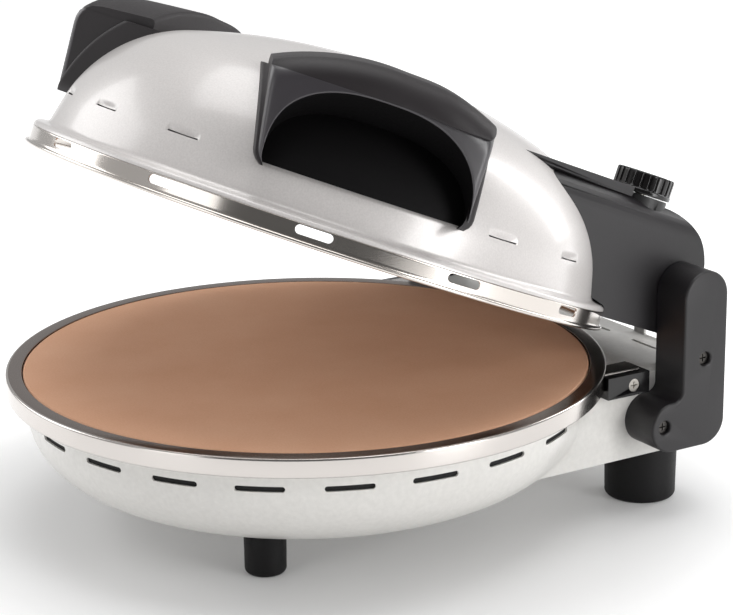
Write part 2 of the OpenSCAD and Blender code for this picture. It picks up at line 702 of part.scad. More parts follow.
// Half-moon outline of the pocket in (y, z), from its lower edge, grown by d
function pocket_edge(d, n = 24) = [for (i = [0:n]) let (a = 180 * i / n)
  [-(pocket_half + d) * sign(cos(a)) * pow(abs(cos(a)), pocket_bend),
   (pocket_h * cos(pocket_tilt) + d) * pow(sin(a), pocket_bend)]];

module pocket_room(d = 0) translate([handle_reach, pocket_y, handle_low]) rotate([0, -pocket_tilt, 0])
  run_x(-handle_depth, handle_t + 20)
    polygon(concat([[pocket_half + d, -20], [-pocket_half - d, -20]], pocket_edge(d)));

// Outline of the grip in (y, z), seen from its outer side
function handle_edge() = concat(
  arc([handle_half - 7, handle_low + 5], 5, -90, -25, 6), [[handle_half, handle_low + 14],
  [handle_half, handle_top + 2], [-handle_half, handle_top + 2], [-handle_half, handle_low + 14]],
  arc([7 - handle_half, handle_low + 5], 5, 205, 270, 6));

// One of the round faces whose overlap gives the grip its bowed face (tilt 0), its arched top (tilt 90)
// and the rounding in between; d moves it in
module barrel(tilt, d) {
  r = 1 / (cos(tilt) / bow_r + sin(tilt) / arch_r);
  axis_x = handle_reach - handle_edge_r + (handle_edge_r - r) * cos(tilt);
  axis_z = handle_top - handle_edge_r + (handle_edge_r - r) * sin(tilt);
  translate([axis_x, 0, axis_z]) rotate([0, -tilt, 0]) translate([0, 0, -far / 2])
    cylinder(far, r - d, r - d, $fn = 180);
}

module grip_form(d) intersection() {
  barrel(0, d);
  barrel(22.5, d);
  barrel(45, d);
  barrel(67.5, d);
  barrel(90, d);
}

module handle_shape() {
  // the body, a little behind the brow
  intersection() {
    grip_form(brow_lip);
    run_x(handle_back, handle_reach) polygon(handle_edge());
    union() {
      translate([0, -brow_half, 0]) cube([far, 2 * brow_half, far]);
      dome_skin(skirt_t);
    }
  }
  // the brow
  intersection() {
    grip_form(0);
    translate([handle_back, -brow_half, handle_brow]) cube([handle_depth, 2 * brow_half, far]);
  }
}

// The dome with a skin of thickness d, from its foot up
module dome_skin(d) rotate_extrude() polygon(concat(
  [for (p = dome_line(-d)) if (p[1] > wall_z) p], [[0, dome_h + d], [0, wall_z], [dome_r + d, wall_z]]));

// The room for the fingers, with a skin left on the dome
module handle_pocket() difference() {
  pocket_room();
  dome_skin(handle_t);
}

// The brow is hollow above the pocket's ceiling, and open towards the dome
module brow_hollow() difference() {
  intersection() {
    grip_form(brow_lip + handle_t);
    translate([handle_back + handle_t, -hollow_half, handle_low + 10])
      cube([handle_depth, 2 * hollow_half, far]);
  }
  pocket_room(handle_t);
}

// The screws stand square on the dome, from a place on its shoulder
handle_screw_turn = 23;
handle_screw_tilt = 56;
handle_screw_l = 10;

module handle_screw_seat() for (e = sides)
  rotate([0, 0, e * handle_screw_turn - handle_turn]) translate([bend_c[0], 0, bend_c[1]])
    rotate([0, 90 - handle_screw_tilt, 0]) translate([0, 0, shoulder_r]) children();

module handle() difference() {
  rotate([0, 0, -handle_turn]) difference() {
    handle_shape();
    handle_pocket();
    brow_hollow();
  }
  rotate_extrude() polygon(concat([for (p = dome_line(0)) if (p[1] >= wall_z) p],
    [[0, wall_z - 20], [dome_r + 8, wall_z - 20]]));
  handle_screw_seat() translate([0, 0, -1]) cylinder(handle_screw_l + 1.2, screw_r, screw_r, $fn = 32);
}

module handle_left() color("#3a3436") lid_seat() scale_x(-1) handle();
module handle_right() color("#3a3436") lid_seat() handle();

module handle_screws() color("silver") lid_seat() for (s = sides) scale_x(s) handle_screw_seat() {
  translate([0, 0, -dome_t - 2.6]) cylinder(2.4, screw_head_r, screw_head_r, $fn = 32);
  translate([0, 0, -dome_t - 2.6]) cylinder(handle_screw_l + dome_t + 2.6, screw_r, screw_r, $fn = 32);
}

// ---- control box ----

// Solid form of the box, moved in by d
module box_body(d = 0) intersection() {
  half = box_half - d;
  low = box_low - (d > 0 ? 1 : 0);
  run_x(-half, half) polygon(concat([[30, box_top - d], [30, low], [box_back - d, low]],
    arc([box_back - box_back_r, box_top - box_back_r], box_back_r - d, 0, 90, 12)));
  run_y(20, far) polygon(concat([[-half, box_low - 2], [half, box_low - 2]],
    arc([box_half - box_edge_r, box_top - box_edge_r], box_edge_r - d, 0, 90, 6),
    arc([box_edge_r - box_half, box_top - box_edge_r], box_edge_r - d, 90, 180, 6)));
}

module knuckle(r, x0, x1) translate([x0, hinge_y, hinge_up]) rotate([0, 90, 0]) cylinder(x1 - x0, r, r);

box_floor_z = box_low + box_t;

module control_box() color("#464046") lid_seat() difference() {
  union() {
    difference() {
      box_body();
      box_body(box_t);
    }
    for (s = sides) scale_x(s) knuckle(knuckle_r, box_half - knuckle_l, box_half);
    for (p = box_screw_spots) translate([p[0], p[1], box_floor_z])
      cylinder(box_boss_h, box_boss_r, box_boss_r, $fn = 32);
  }
  for (s = sides) scale_x(s) knuckle(pin_r + run_gap, box_half - knuckle_l - 1, box_half + 1);
  lid_body();
  translate([knob_x, knob_y, 0]) cylinder(far, spindle_r + 2, spindle_r + 2, $fn = 48);
  for (p = box_screw_spots) translate([p[0], p[1], box_low])
    cylinder(box_screw_l, screw_r, screw_r, $fn = 32);
}

box_boss_r = 4;
box_boss_h = 24;
box_screw_l = 20;
box_screw_head_h = 1.6;
box_screw_spots = [for (s = sides) [s * box_half / 2, box_back - box_boss_r - 1.5]];

module control_box_top() color("#383338") lid_seat() difference() {
  run_z(box_top, box_top + panel_t) {
    translate([-panel_half, panel_front]) square([2 * panel_half, panel_l - panel_corner_r]);
    translate([panel_corner_r - panel_half, panel_front])
      square([2 * (panel_half - panel_corner_r), panel_l]);
    for (s = sides) translate([s * (panel_half - panel_corner_r), panel_front + panel_l - panel_corner_r])
      circle(panel_corner_r, $fn = 48);
  }
  lid_body();
  translate([knob_x, knob_y, 0]) cylinder(far, knob_r + 1, knob_r + 1);
}
panel_corner_r = 6;
panel_half = box_half - box_edge_r + 4;      // the panel reaches over the box's rounded side edges
panel_front = dome_r / 4;                    // under the dome's sheet, which cuts the panel's front
panel_l = box_back - 54 - panel_front;

module control_box_floor() color("#1c1a1c") lid_seat() difference() {
  intersection() {
    box_body(box_t);
    translate([-far / 2, 0, box_low]) cube([far, far, box_t]);
  }
  lid_body();
  for (s = sides) scale_x(s) knuckle(knuckle_r, box_half - knuckle_l, box_half);
  for (p = box_screw_spots) translate([p[0], p[1], box_low - 1])
    cylinder(box_screw_l, screw_free_r, screw_free_r, $fn = 32);
}

module box_screws() color("silver") lid_seat()
  for (p = box_screw_spots) translate([p[0], p[1], box_low - box_screw_head_h]) union() {
    cylinder(box_screw_head_h, screw_head_r - 0.5, screw_head_r - 0.5, $fn = 32);
    cylinder(box_screw_l, screw_r, screw_r, $fn = 32);
  }

thermostat_top = box_top - box_t;
thermostat_r = 12.5;
thermostat_h = 15.5;                         // the round can
thermostat_neck = 2.5;                       // from the can up to the box's top wall
thermostat_switch = [18, 29, 11];            // the block of contacts under the can
thermostat_foot_z = thermostat_top - thermostat_neck - thermostat_h;
shaft_depth = thermostat_h - 6;

module thermostat() color("burlywood") lid_seat() translate([knob_x, knob_y, 0]) difference() {
  union() {
    translate([0, 0, thermostat_foot_z]) cylinder(thermostat_h, thermostat_r, thermostat_r);
    translate([-11, -9, thermostat_foot_z - thermostat_switch[2] + 1]) cube(thermostat_switch);
    translate([0, 0, thermostat_foot_z + 1])
      cylinder(thermostat_h + thermostat_neck + box_t - 1, spindle_r + 1.8, spindle_r + 1.8);
  }
  translate([0, 0, thermostat_top - thermostat_neck - shaft_depth])
    cylinder(far, spindle_r + run_gap, spindle_r + run_gap);
}

module knob_collar() color("#0e0e0e") lid_seat() difference() {
  translate([knob_x, knob_y, 0]) tube(knob_r - 1.2, spindle_r + 3, box_top - 10, box_top + collar_h);
  box_body();
}

knob_z = box_top + collar_h + 0.6;

module knob() color("#101010") lid_seat() translate([knob_x, knob_y, knob_z]) difference() {
  rotate_extrude() polygon(concat([[spindle_r, 0], [knob_r, 0], [knob_r, 2.4], [knob_r - 0.4, 2.4]],
    arc([knob_r - 1.9, knob_h - 1.5], 1.5, 0, 90, 5), [[spindle_r, knob_h]]));
  for (i = [0:23]) rotate([0, 0, i * 15]) translate([knob_r + 0.5, 0, 2.6])
    cylinder(knob_h, 1.4, 1.4, $fn = 24);
  // the mark that points at the heat setting
  translate([-0.6, 5, knob_h - 0.6]) cube([1.2, knob_r - 6.6, 2]);
}

shaft_z = thermostat_top - thermostat_neck - shaft_depth + 0.6;

module knob_shaft() color("silver") lid_seat() translate([knob_x, knob_y, shaft_z])
  cylinder(knob_z + knob_h - 1 - shaft_z, spindle_r, spindle_r, $fn = 48);

base_pan();
lower_reflector();
lower_heater();
lower_heater_clips();
stone();
trim_ring();
ring_clips();
clip_screws();
rear_housing();
rear_bottom_cover();
terminal_block();
cord_gland();
hinge_bracket_left();
hinge_bracket_right();
hinge_pins();
hinge_arm_left();
hinge_arm_right();
arm_screws();
front_feet();
rear_feet();
foot_screws();
lid_dome();
lid_rim();
upper_reflector();
upper_heater();
upper_heater_clips();
handle_left();
handle_right();
handle_screws();
control_box();
control_box_top();
control_box_floor();
box_screws();
thermostat();
knob_collar();
knob();
knob_shaft();
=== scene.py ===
# Electric pizza oven with a hinged dome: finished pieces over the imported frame.
# Lengths are in millimetres until a mesh is made, where mm turns them to metres.
import bpy, bmesh, json
import numpy as np
from math import asin, atan2, cos, degrees, hypot, pi, radians, sin, sqrt, tan
from mathutils import Matrix, Vector

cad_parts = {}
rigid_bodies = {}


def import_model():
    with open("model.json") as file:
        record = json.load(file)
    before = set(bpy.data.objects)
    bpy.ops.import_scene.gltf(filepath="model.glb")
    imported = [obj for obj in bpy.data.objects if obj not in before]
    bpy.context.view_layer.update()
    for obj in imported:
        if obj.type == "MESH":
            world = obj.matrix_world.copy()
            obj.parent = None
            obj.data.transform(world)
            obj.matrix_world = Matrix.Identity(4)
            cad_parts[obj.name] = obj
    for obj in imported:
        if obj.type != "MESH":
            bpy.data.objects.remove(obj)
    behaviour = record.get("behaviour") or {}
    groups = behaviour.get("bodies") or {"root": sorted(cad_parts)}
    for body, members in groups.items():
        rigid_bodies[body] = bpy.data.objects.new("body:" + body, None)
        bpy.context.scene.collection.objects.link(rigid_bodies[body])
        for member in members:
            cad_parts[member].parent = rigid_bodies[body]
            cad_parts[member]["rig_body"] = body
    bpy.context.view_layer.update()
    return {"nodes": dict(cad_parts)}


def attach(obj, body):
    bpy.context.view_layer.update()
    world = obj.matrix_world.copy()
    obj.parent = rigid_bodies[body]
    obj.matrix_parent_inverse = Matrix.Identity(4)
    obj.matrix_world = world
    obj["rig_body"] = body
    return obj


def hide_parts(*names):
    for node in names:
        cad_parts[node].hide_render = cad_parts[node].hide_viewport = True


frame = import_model()
nodes = frame["nodes"]
scene = bpy.context.scene
bodyOf = {node: nodes[node]["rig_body"] for node in nodes}
mm = 0.001

# Where the closed lid stands on the base, and how far it is open; heights of the base are above the table
oven = dict(ringHeight=91.0, middleShift=16.6, openAngle=22.4, hingeBack=188.5, hingeUp=21.0)


def srgb(code):
    # sRGB hex to linear: c / 12.92 up to 0.04045, else ((c + 0.055) / 1.055) to the power 2.4
    c = np.array([int(code[i:i + 2], 16) / 255 for i in (0, 2, 4)])
    return (*np.where(c <= 0.04045, c / 12.92, ((c + 0.055) / 1.055) ** 2.4), 1.0)


def feed(node, inputs):
    # a node's inputs: one that is given a socket, or a node for its first output, is linked; others are set
    for key, value in inputs.items():
        if isinstance(value, bpy.types.Node):
            value = value.outputs[0]
        if isinstance(value, bpy.types.NodeSocket):
            node.id_data.links.new(value, node.inputs[key])
        else:
            node.inputs[key].default_value = value


def addNode(tree, kind, inputs=None, **settings):
    # one shader node, with its settings
    node = tree.nodes.new("ShaderNode" + kind)
    for key, value in settings.items():
        setattr(node, key, value)
    feed(node, inputs or {})
    return node


def startMaterial(name, **shader):
    # a material with a Principled shader, its inputs set by name with _ for a space; returned with the place on
    # the piece, which textures use
    material = bpy.data.materials.new(name)
    material.use_nodes = True
    tree = material.node_tree
    shaderNode = tree.nodes["Principled BSDF"]
    feed(shaderNode, {key.replace("_", " "): value for key, value in shader.items()})
    return material, tree, shaderNode, addNode(tree, "TexCoord").outputs["Object"]


def ramp(tree, fac, stops):
    # a colour ramp through (place, hex) stops
    node = addNode(tree, "ValToRGB", {"Fac": fac})
    while len(node.color_ramp.elements) < len(stops):
        node.color_ramp.elements.new(0.5)
    for element, (place, code) in zip(node.color_ramp.elements, stops):
        element.position, element.color = place, srgb(code)
    return node


def pearlEnamel():
    # Stove enamel with a fine pearl flake, sprayed: a soft warm grey under a clear gloss.
    # The flake is 0.1 mm in truth, drawn at 1 mm so that it shows; the orange peel is 4 mm.
    material, tree, shader, place = startMaterial("pearlEnamel", Metallic=0.15, Roughness=0.34, Coat_Weight=0.5,
                                                  Coat_Roughness=0.12)
    flake = addNode(tree, "TexNoise", {"Vector": place, "Scale": 1000.0, "Detail": 2.0})
    peel = addNode(tree, "TexNoise", {"Vector": place, "Scale": 260.0, "Detail": 1.0})
    bump = addNode(tree, "Bump", {"Height": peel, "Strength": 0.03, "Distance": 0.0004})
    feed(shader, {"Base Color": ramp(tree, flake, [(0.3, "c8c4c2"), (0.7, "d2cecc")]), "Normal": bump})
    return material


def panEnamel():
    # Powder-coated steel: even, near white, with a faint orange peel of 3 mm and a satin gloss.
    material, tree, shader, place = startMaterial("panEnamel", Metallic=0.0, Roughness=0.36, Coat_Weight=0.3,
                                                  Coat_Roughness=0.18)
    peel = addNode(tree, "TexNoise", {"Vector": place, "Scale": 330.0, "Detail": 2.0})
    bump = addNode(tree, "Bump", {"Height": peel, "Strength": 0.05, "Distance": 0.0003})
    feed(shader, {"Base Color": ramp(tree, peel, [(0.2, "d2d0cc"), (0.8, "dcdad6")]), "Normal": bump})
    return material


def spunSteel(name, tint, rough, strength):
    # Stainless sheet, spun and polished on a lathe: fine rings round its axis, 0.4 mm apart,
    # and clouds of 30 mm where the polishing mop left it brighter or duller.
    material, tree, shader, place = startMaterial(name, Metallic=1.0, Roughness=rough, Base_Color=srgb(tint))
    centred = addNode(tree, "Mapping", {"Vector": place, "Location": (0, oven["middleShift"] * mm, 0)})
    axes = addNode(tree, "SeparateXYZ", {"Vector": centred}).outputs
    flat = addNode(tree, "CombineXYZ", {"X": axes["X"], "Y": axes["Y"]})
    radius = addNode(tree, "VectorMath", {0: flat}, operation="LENGTH").outputs["Value"]
    stretched = addNode(tree, "CombineXYZ", {"X": radius, "Y": axes["Z"]})
    rings = addNode(tree, "TexNoise", {"Vector": stretched, "Scale": 2500.0, "Detail": 3.0})
    cloud = addNode(tree, "TexNoise", {"Vector": place, "Scale": 33.0, "Detail": 3.0})
    rub = addNode(tree, "MapRange", {"Value": cloud, "To Min": rough * 0.75, "To Max": rough * 1.35})
    bump = addNode(tree, "Bump", {"Height": rings, "Strength": strength, "Distance": 0.0002})
    feed(shader, {"Roughness": rub, "Normal": bump})
    return material


def grained(name, rough, spread, scale, strength, **shader):
    # what metal and plastic share: a fine even grain that spreads the roughness and stands out a little
    material, tree, shaderNode, place = startMaterial(name, Roughness=rough, **shader)
    grain = addNode(tree, "TexNoise", {"Vector": place, "Scale": scale, "Detail": 3.0})
    rub = addNode(tree, "MapRange", {"Value": grain, "To Min": rough * spread[0], "To Max": rough * spread[1]})
    bump = addNode(tree, "Bump", {"Height": grain, "Strength": strength, "Distance": 0.0002})
    feed(shaderNode, {"Roughness": rub, "Normal": bump})
    return material, tree, shaderNode, place


def plainMetal(name, tint, rough):
    # Plain sheet or turned steel, tumbled: the even grain, drawn at 1.4 mm, breaks up its gloss.
    return grained(name, rough, (0.75, 1.35), 700.0, 0.08, Metallic=1.0, Base_Color=srgb(tint))[0]


def firedClay():
    # Cordierite baking stone, pressed and fired: matt terracotta, cloudy over 40 mm, with 1 mm grog and pores.
    material, tree, shader, place = startMaterial("firedClay", Roughness=0.85)
    cloud = addNode(tree, "TexNoise", {"Vector": place, "Scale": 25.0, "Detail": 5.0})
    grog = addNode(tree, "TexNoise", {"Vector": place, "Scale": 900.0, "Detail": 4.0})
    mixed = addNode(tree, "Math", {0: cloud, 1: grog}, operation="ADD")
    half = addNode(tree, "Math", {0: mixed, 1: 0.5}, operation="MULTIPLY")
    colour = ramp(tree, half, [(0.3, "d9a482"), (0.5, "dfac8b"), (0.7, "e4b494")])
    bump = addNode(tree, "Bump", {"Height": grog, "Strength": 0.25, "Distance": 0.0004})
    feed(shader, {"Base Color": colour, "Normal": bump})
    return material


def mouldedPlastic(name, low, high, rough, scale=650.0, strength=0.1, specular=0.5):
    # Glass-filled nylon from a spark-eroded mould, and other moulded or painted pieces with its faint grain:
    # satin, in clouds of 55 mm. The grain is 0.3 mm in truth, drawn at 1.5 mm.
    material, tree, shader, place = grained(name, rough, (0.85, 1.2), scale, strength, IOR=1.5,
                                            Specular_IOR_Level=specular)
    cloud = addNode(tree, "TexNoise", {"Vector": place, "Scale": 18.0, "Detail": 2.0})
    feed(shader, {"Base Color": ramp(tree, cloud, [(0.3, low), (0.7, high)])})
    return material


# Colours, then roughness; a moulded piece has two tones that its clouds run between
finishes = dict(
    pearl=pearlEnamel(), pan=panEnamel(), stone=firedClay(),
    rimSteel=spunSteel("polishedRimSteel", "d2ccc6", 0.14, 0.04),  # bright, mirrors the stone and the room
    trimSteel=spunSteel("spunTrimSteel", "c6c1bd", 0.17, 0.08),  # the ring's skirt, a little softer
    trimTop=spunSteel("ringTopPaintedShadeSteel", "857a74", 0.2, 0.08),  # the ring's top: painted shade, a darker, browner copy of the skirt's steel for the dark lid it mirrors
    reflector=plainMetal("reflectorSheet", "c4c4c2", 0.28),  # aluminised sheet, an even dull silver
    slotShade=mouldedPlastic("paintedShadeBlack", "060606", "0a0909", 0.8),  # painted shade: dead matt black on the lower reflector's rim and underside, so the pan's slots look dark
    heater=plainMetal("heatedSheath", "5a4f49", 0.5),  # steel sheath, brown from heat
    clip=plainMetal("clipSteel", "b4b0aa", 0.35),
    screw=plainMetal("zincScrew", "b9b5ae", 0.3),
    darkScrew=plainMetal("blackenedScrew", "4a4846", 0.32),
    charcoal=mouldedPlastic("charcoalNylon", "161416", "1b181b", 0.42),
    grip=mouldedPlastic("gripNylon", "1f1b1d", "262224", 0.5, specular=0.35),  # brow and skirts: matt, dark
    face=mouldedPlastic("smoothNylonPaintedSheen", "2a272b", "322e33", 0.36, specular=0.85),  # smoother and glossier, so it catches the side light; its colour, lighter than the brow's, is painted sheen
    pocket=mouldedPlastic("pocketPaintedShadeNylon", "080708", "0b0a0b", 0.6, specular=0.12),  # painted shade: the finger pocket's ceiling, back and floor, near black and dull, for the shade deep in it
    black=mouldedPlastic("blackNylon", "0e0d0e", "131213", 0.4),
    gloss=mouldedPlastic("glossPhenolic", "0a090a", "0e0c0d", 0.16, 400.0, 0.02),  # pressed resin: sharp gloss
    foot=mouldedPlastic("footPlastic", "0b0a0b", "0f0e0f", 0.55, specular=0.25),
    bracket=mouldedPlastic("blackLacquer", "17161a", "1c1b1f", 0.35),  # dipped sheet, satin
    ceramic=mouldedPlastic("steatiteCeramic", "d3ccbd", "ddd6c8", 0.4),  # cream, faintly glossy
    gland=mouldedPlastic("glandRubber", "1a191a", "201f20", 0.7))
print("materials made")


def onBase(points):
    # points drawn round the dome's axis, z above the table, to metres in the frame
    return (points - [0, oven["middleShift"], 0]) * mm


def onLid(points):
    # points of the closed lid, z = 0 at the ring's top, turned open about the hinge, to metres in the frame
    x, back, up = points[:, 0], points[:, 1] - oven["hingeBack"], points[:, 2] - oven["hingeUp"]
    c, s = cos(radians(oven["openAngle"])), sin(radians(oven["openAngle"]))
    y = oven["hingeBack"] - oven["middleShift"] + back * c + up * s
    return np.stack([x, y, oven["ringHeight"] + oven["hingeUp"] - back * s + up * c], -1) * mm


def inScene(name, data):
    # an object with this data, put in the scene
    thing = bpy.data.objects.new(name, data)
    scene.collection.objects.link(thing)
    return thing


def softPiece(name, mesh, sharp=32.0):
    # an object smooth but for edges that turn more than sharp degrees
    mesh.shade_smooth()
    mesh.set_sharp_from_angle(angle=radians(sharp))
    return inScene(name, mesh)


def ease(x):
    # 0 before 0, 1 after 1, and 3 x squared less 2 x cubed between
    x = np.clip(x, 0, 1)
    return x * x * (3 - 2 * x)


def circleDrop(radius, along):
    # how far a circle has dropped from its top, at along from there
    return radius - np.sqrt(radius ** 2 - along ** 2)


def quads(rows, columns, around=False):
    # faces of a grid of points laid out row by row; around joins the last column to the first
    i, j = np.meshgrid(np.arange(rows - 1), np.arange(columns if around else columns - 1), indexing="ij")
    k = (j + 1) % columns
    corners = [i * columns + j, i * columns + k, (i + 1) * columns + k, (i + 1) * columns + j]
    return np.stack(corners, -1).reshape(-1, 4)


def gridPatch(x, y, z, around=False, flipped=False, shade=0):
    # a patch from three arrays of one shape; the faces look to the side of (along a row) x (along a column)
    x, y, z = np.broadcast_arrays(x, y, z)
    faces = quads(*x.shape, around)
    return np.stack([x, y, z], -1).reshape(-1, 3), faces[:, ::-1] if flipped else faces, shade


def arc(middle, radius, start, end, count):
    # points on a circle, or on an ellipse where the radius is a pair; angles in degrees
    a = np.radians(np.linspace(start, end, count))
    return np.asarray(middle) + np.stack([np.cos(a), np.sin(a)], -1) * radius


def unit(vectors):
    # each row over its length
    return vectors / np.maximum(np.linalg.norm(vectors, axis=1, keepdims=True), 1e-12)


def runAlong(line):
    # how far each point is along the line
    return np.concatenate([[0], np.cumsum(np.linalg.norm(np.diff(line, axis=0), axis=1))])


def softLine(corners, steps=6):
    # corners are (x, y, size): each gives way to a parabola of steps points that begins and ends size away
    corners = np.array(corners, float)
    p, size = corners[:, :2], corners[:, 2, None]
    ahead, behind = np.roll(p, -1, 0) - p, np.roll(p, 1, 0) - p
    a, b = (p + unit(behind) * size)[:, None], (p + unit(ahead) * size)[:, None]
    t = np.linspace(0, 1, steps)[None, :, None]
    return (a * (1 - t) ** 2 + 2 * p[:, None] * t * (1 - t) + b * t ** 2).reshape(-1, 2)


def lineNormals(line):
    # unit vectors to the right of a line of (radius, height) points, which is outwards where it climbs
    step = unit(np.gradient(line, axis=0))
    return np.stack([step[:, 1], -step[:, 0]], -1)


def revolved(line, angles, lift=0.0, around=True, shade=0):
    # a line of (radius, height) points carried round the axis, and pushed out by lift along its own normal
    normal = lineNormals(line)[:, :, None]
    r, z = line[:, 0, None] + normal[:, 0] * lift, line[:, 1, None] + normal[:, 1] * lift
    a = np.radians(angles)[None, :]
    return gridPatch(r * np.cos(a), r * np.sin(a), z + 0 * a, around=around, shade=shade)


def slottedWall(radius, low, high, slot, gapStep=2.0, margin=4.0, count=13):
    # An upright round wall with a row of round-ended slots about its front. Each slot has a cell: its border is
    # carried in four steps from the slot's outline to a rectangle. Plain strips fill the wall between the cells.
    # Returns the patches and the angles of the points along the wall's edges.
    turn = 180 / (pi * radius)  # degrees round the wall to a millimetre along it
    middles = -90 + (np.arange(slot["count"]) - (slot["count"] - 1) / 2) * slot["step"]
    half, reach = slot["height"] / 2, slot["length"] / 2 - slot["height"] / 2
    flat = np.linspace(-reach, reach, count)[1:-1]
    hole = np.vstack([arc((reach, 0), half, -90, 90, count), np.stack([flat[::-1], flat * 0 + half], -1),
                      arc((-reach, 0), half, 90, 270, count), np.stack([flat, flat * 0 - half], -1)])
    wide = slot["length"] / 2 + margin
    rows = np.linspace(low - slot["middle"], high - slot["middle"], count)
    across = np.linspace(-wide, wide, count)[1:-1]
    border = np.vstack([np.stack([rows * 0 + wide, rows], -1),
                        np.stack([across[::-1], across * 0 + rows[-1]], -1),
                        np.stack([rows * 0 - wide, rows[::-1]], -1),
                        np.stack([across, across * 0 + rows[0]], -1)])
    t = (np.linspace(0, 1, 5) ** 1.4)[:, None, None]  # closer together at the slot
    cell = hole * (1 - t) + border * t
    patches, edge = [], []
    for middle, after in zip(middles, np.append(middles[1:], middles[0] + 360)):
        a = np.radians(middle + cell[:, :, 0] * turn)
        patches.append(gridPatch(radius * np.cos(a), radius * np.sin(a), slot["middle"] + cell[:, :, 1],
                                 around=True, flipped=True))
        start, end = middle + wide * turn, after - wide * turn
        between = np.linspace(start, end, max(2, int((end - start) / turn / gapStep)))
        patches.append(revolved(np.linspace((radius, low), (radius, high), count), between, around=False))
        edge += [middle + across * turn, between]
    return patches, np.concatenate(edge)


def joined(patches, grain=0.004):
    # several patches as one: points that fall in the same grain become one point
    starts = np.cumsum([0] + [len(patch[0]) for patch in patches])
    points = np.vstack([patch[0] for patch in patches])
    faces = np.vstack([patch[1] + start for patch, start in zip(patches, starts)])
    shades = np.concatenate([np.full(len(patch[1]), patch[2]) for patch in patches])
    cells = np.round(points / grain).astype(int)
    _, first, back = np.unique(cells, axis=0, return_index=True, return_inverse=True)
    faces = back.ravel()[faces]
    # a face that has shrunk to a line or a point goes; one with a side of no length stays, as a triangle
    real = (faces == np.roll(faces, -1, 1)).sum(1) < 2
    return points[first], faces[real], shades[real]


def thickened(points, faces, shades, wall):
    # a sheet: the outer face, a copy moved in against the normals, and a strip along every open edge
    corner = points[faces]
    slope = np.cross(corner[:, 2] - corner[:, 0], corner[:, 3] - corner[:, 1])
    normal = np.zeros_like(points)
    np.add.at(normal, faces.ravel(), np.repeat(slope, 4, axis=0))
    edges = np.stack([faces, np.roll(faces, -1, 1)], -1).reshape(-1, 2)
    shadeOf = np.repeat(shades, 4)
    real = edges[:, 0] != edges[:, 1]
    edges, shadeOf = edges[real], shadeOf[real]
    _, first, count = np.unique(np.sort(edges, 1), axis=0, return_index=True, return_counts=True)
    lone = first[count == 1]
    a, b, n = edges[lone, 0], edges[lone, 1], len(points)
    strip = np.stack([b, a, a + n, b + n], -1)
    return (np.vstack([points, points - unit(normal) * wall]), np.vstack([faces, faces[:, ::-1] + n, strip]),
            np.concatenate([shades, shades, shadeOf[lone]]))


def addPiece(name, patches, finish, node, replaced=(), place=onBase, wall=0.0, sharp=32.0, mirrored=False):
    # A mesh from patches, laid in the frame and put on the body of a node. A patch's shade
    # says which of several finishes it has.
    points, faces, shades = joined(patches)
    if wall:
        points, faces, shades = thickened(points, faces, shades, wall)
    if mirrored:
        points, faces = points * [-1, 1, 1], faces[:, ::-1]
    # quads with two corners in one place become triangles
    same = faces == np.roll(faces, -1, 1)
    cut = same.sum(1) == 1
    start = np.argmax(same[cut], 1)[:, None]
    triangles = faces[cut][np.arange(cut.sum())[:, None], (start + [1, 2, 3]) % 4]
    whole = same.sum(1) == 0
    mesh = bpy.data.meshes.new(name)
    mesh.from_pydata(place(points).tolist(), [], faces[whole].tolist() + triangles.tolist())
    for entry in finish if isinstance(finish, tuple) else (finish,):
        mesh.materials.append(finishes[entry])
    mesh.polygons.foreach_set("material_index", np.concatenate([shades[whole], shades[cut]]).astype(np.int32))
    piece = softPiece(name, mesh, sharp)
    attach(piece, bodyOf[node])
    if replaced:
        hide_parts(*replaced)


around = np.arange(256) * 360 / 256  # degrees round a turned piece

# The dome, drawn closed: its line climbs from the rim's edge to the middle of the crown
dome = dict(rim=174.0, rimHeight=12.1, wallRadius=165.4, wallLow=18.0, lean=13.4, shoulder=84.0, top=106.8,
            crown=353.0, sheet=1.0, flareStart=(-0.3, 5.3), flareEnd=(1.2, -5.0))
# Louvres: slits with the sheet pressed in above them; radius is the dome's at their height, and the last line
# spaces the points round and above them
louvre = dict(height=34.7, radius=161.3, length=21.5, endClear=0.5, dent=1.8, fullness=0.6, reach=4.4, slit=1.08,
              count=16, first=-86.8, boxHalf=119.4, boxClear=12.0, gripTurn=29.0, gripClear=27.0,
              fineHalf=12.0, fineCount=37, coarseFrom=4.8, nearSpan=7.0)


def domeCurves():
    # The shoulder's circle touches the leaning wall and, from inside, the crown's circle: its middle is the
    # shoulder's radius from the wall's line, and crown less shoulder from the crown's middle.
    lean = radians(dome["lean"])
    inwards, upwards = np.array([-cos(lean), -sin(lean)]), np.array([-sin(lean), cos(lean)])
    crownMiddle = np.array([0, dome["top"] - dome["crown"]])
    start = np.array([dome["wallRadius"], dome["wallLow"]]) + inwards * dome["shoulder"] - crownMiddle
    along = start @ upwards
    run = sqrt(along ** 2 - start @ start + (dome["crown"] - dome["shoulder"]) ** 2) - along
    middle = crownMiddle + start + upwards * run
    return middle, crownMiddle, degrees(atan2(middle[1] - crownMiddle[1], middle[0]))


shoulderMiddle, crownMiddle, shoulderEnd = domeCurves()
slitAngle = degrees(asin((louvre["height"] - shoulderMiddle[1]) / dome["shoulder"]))


def bezier(a, b, c, d, count):
    # a cubic curve that leaves a towards b and reaches d from c
    t = np.linspace(0, 1, count)[:, None]
    a, b, c, d = (np.array(point, float) for point in (a, b, c, d))
    return a * (1 - t) ** 3 + 3 * b * t * (1 - t) ** 2 + 3 * c * t ** 2 * (1 - t) + d * t ** 3


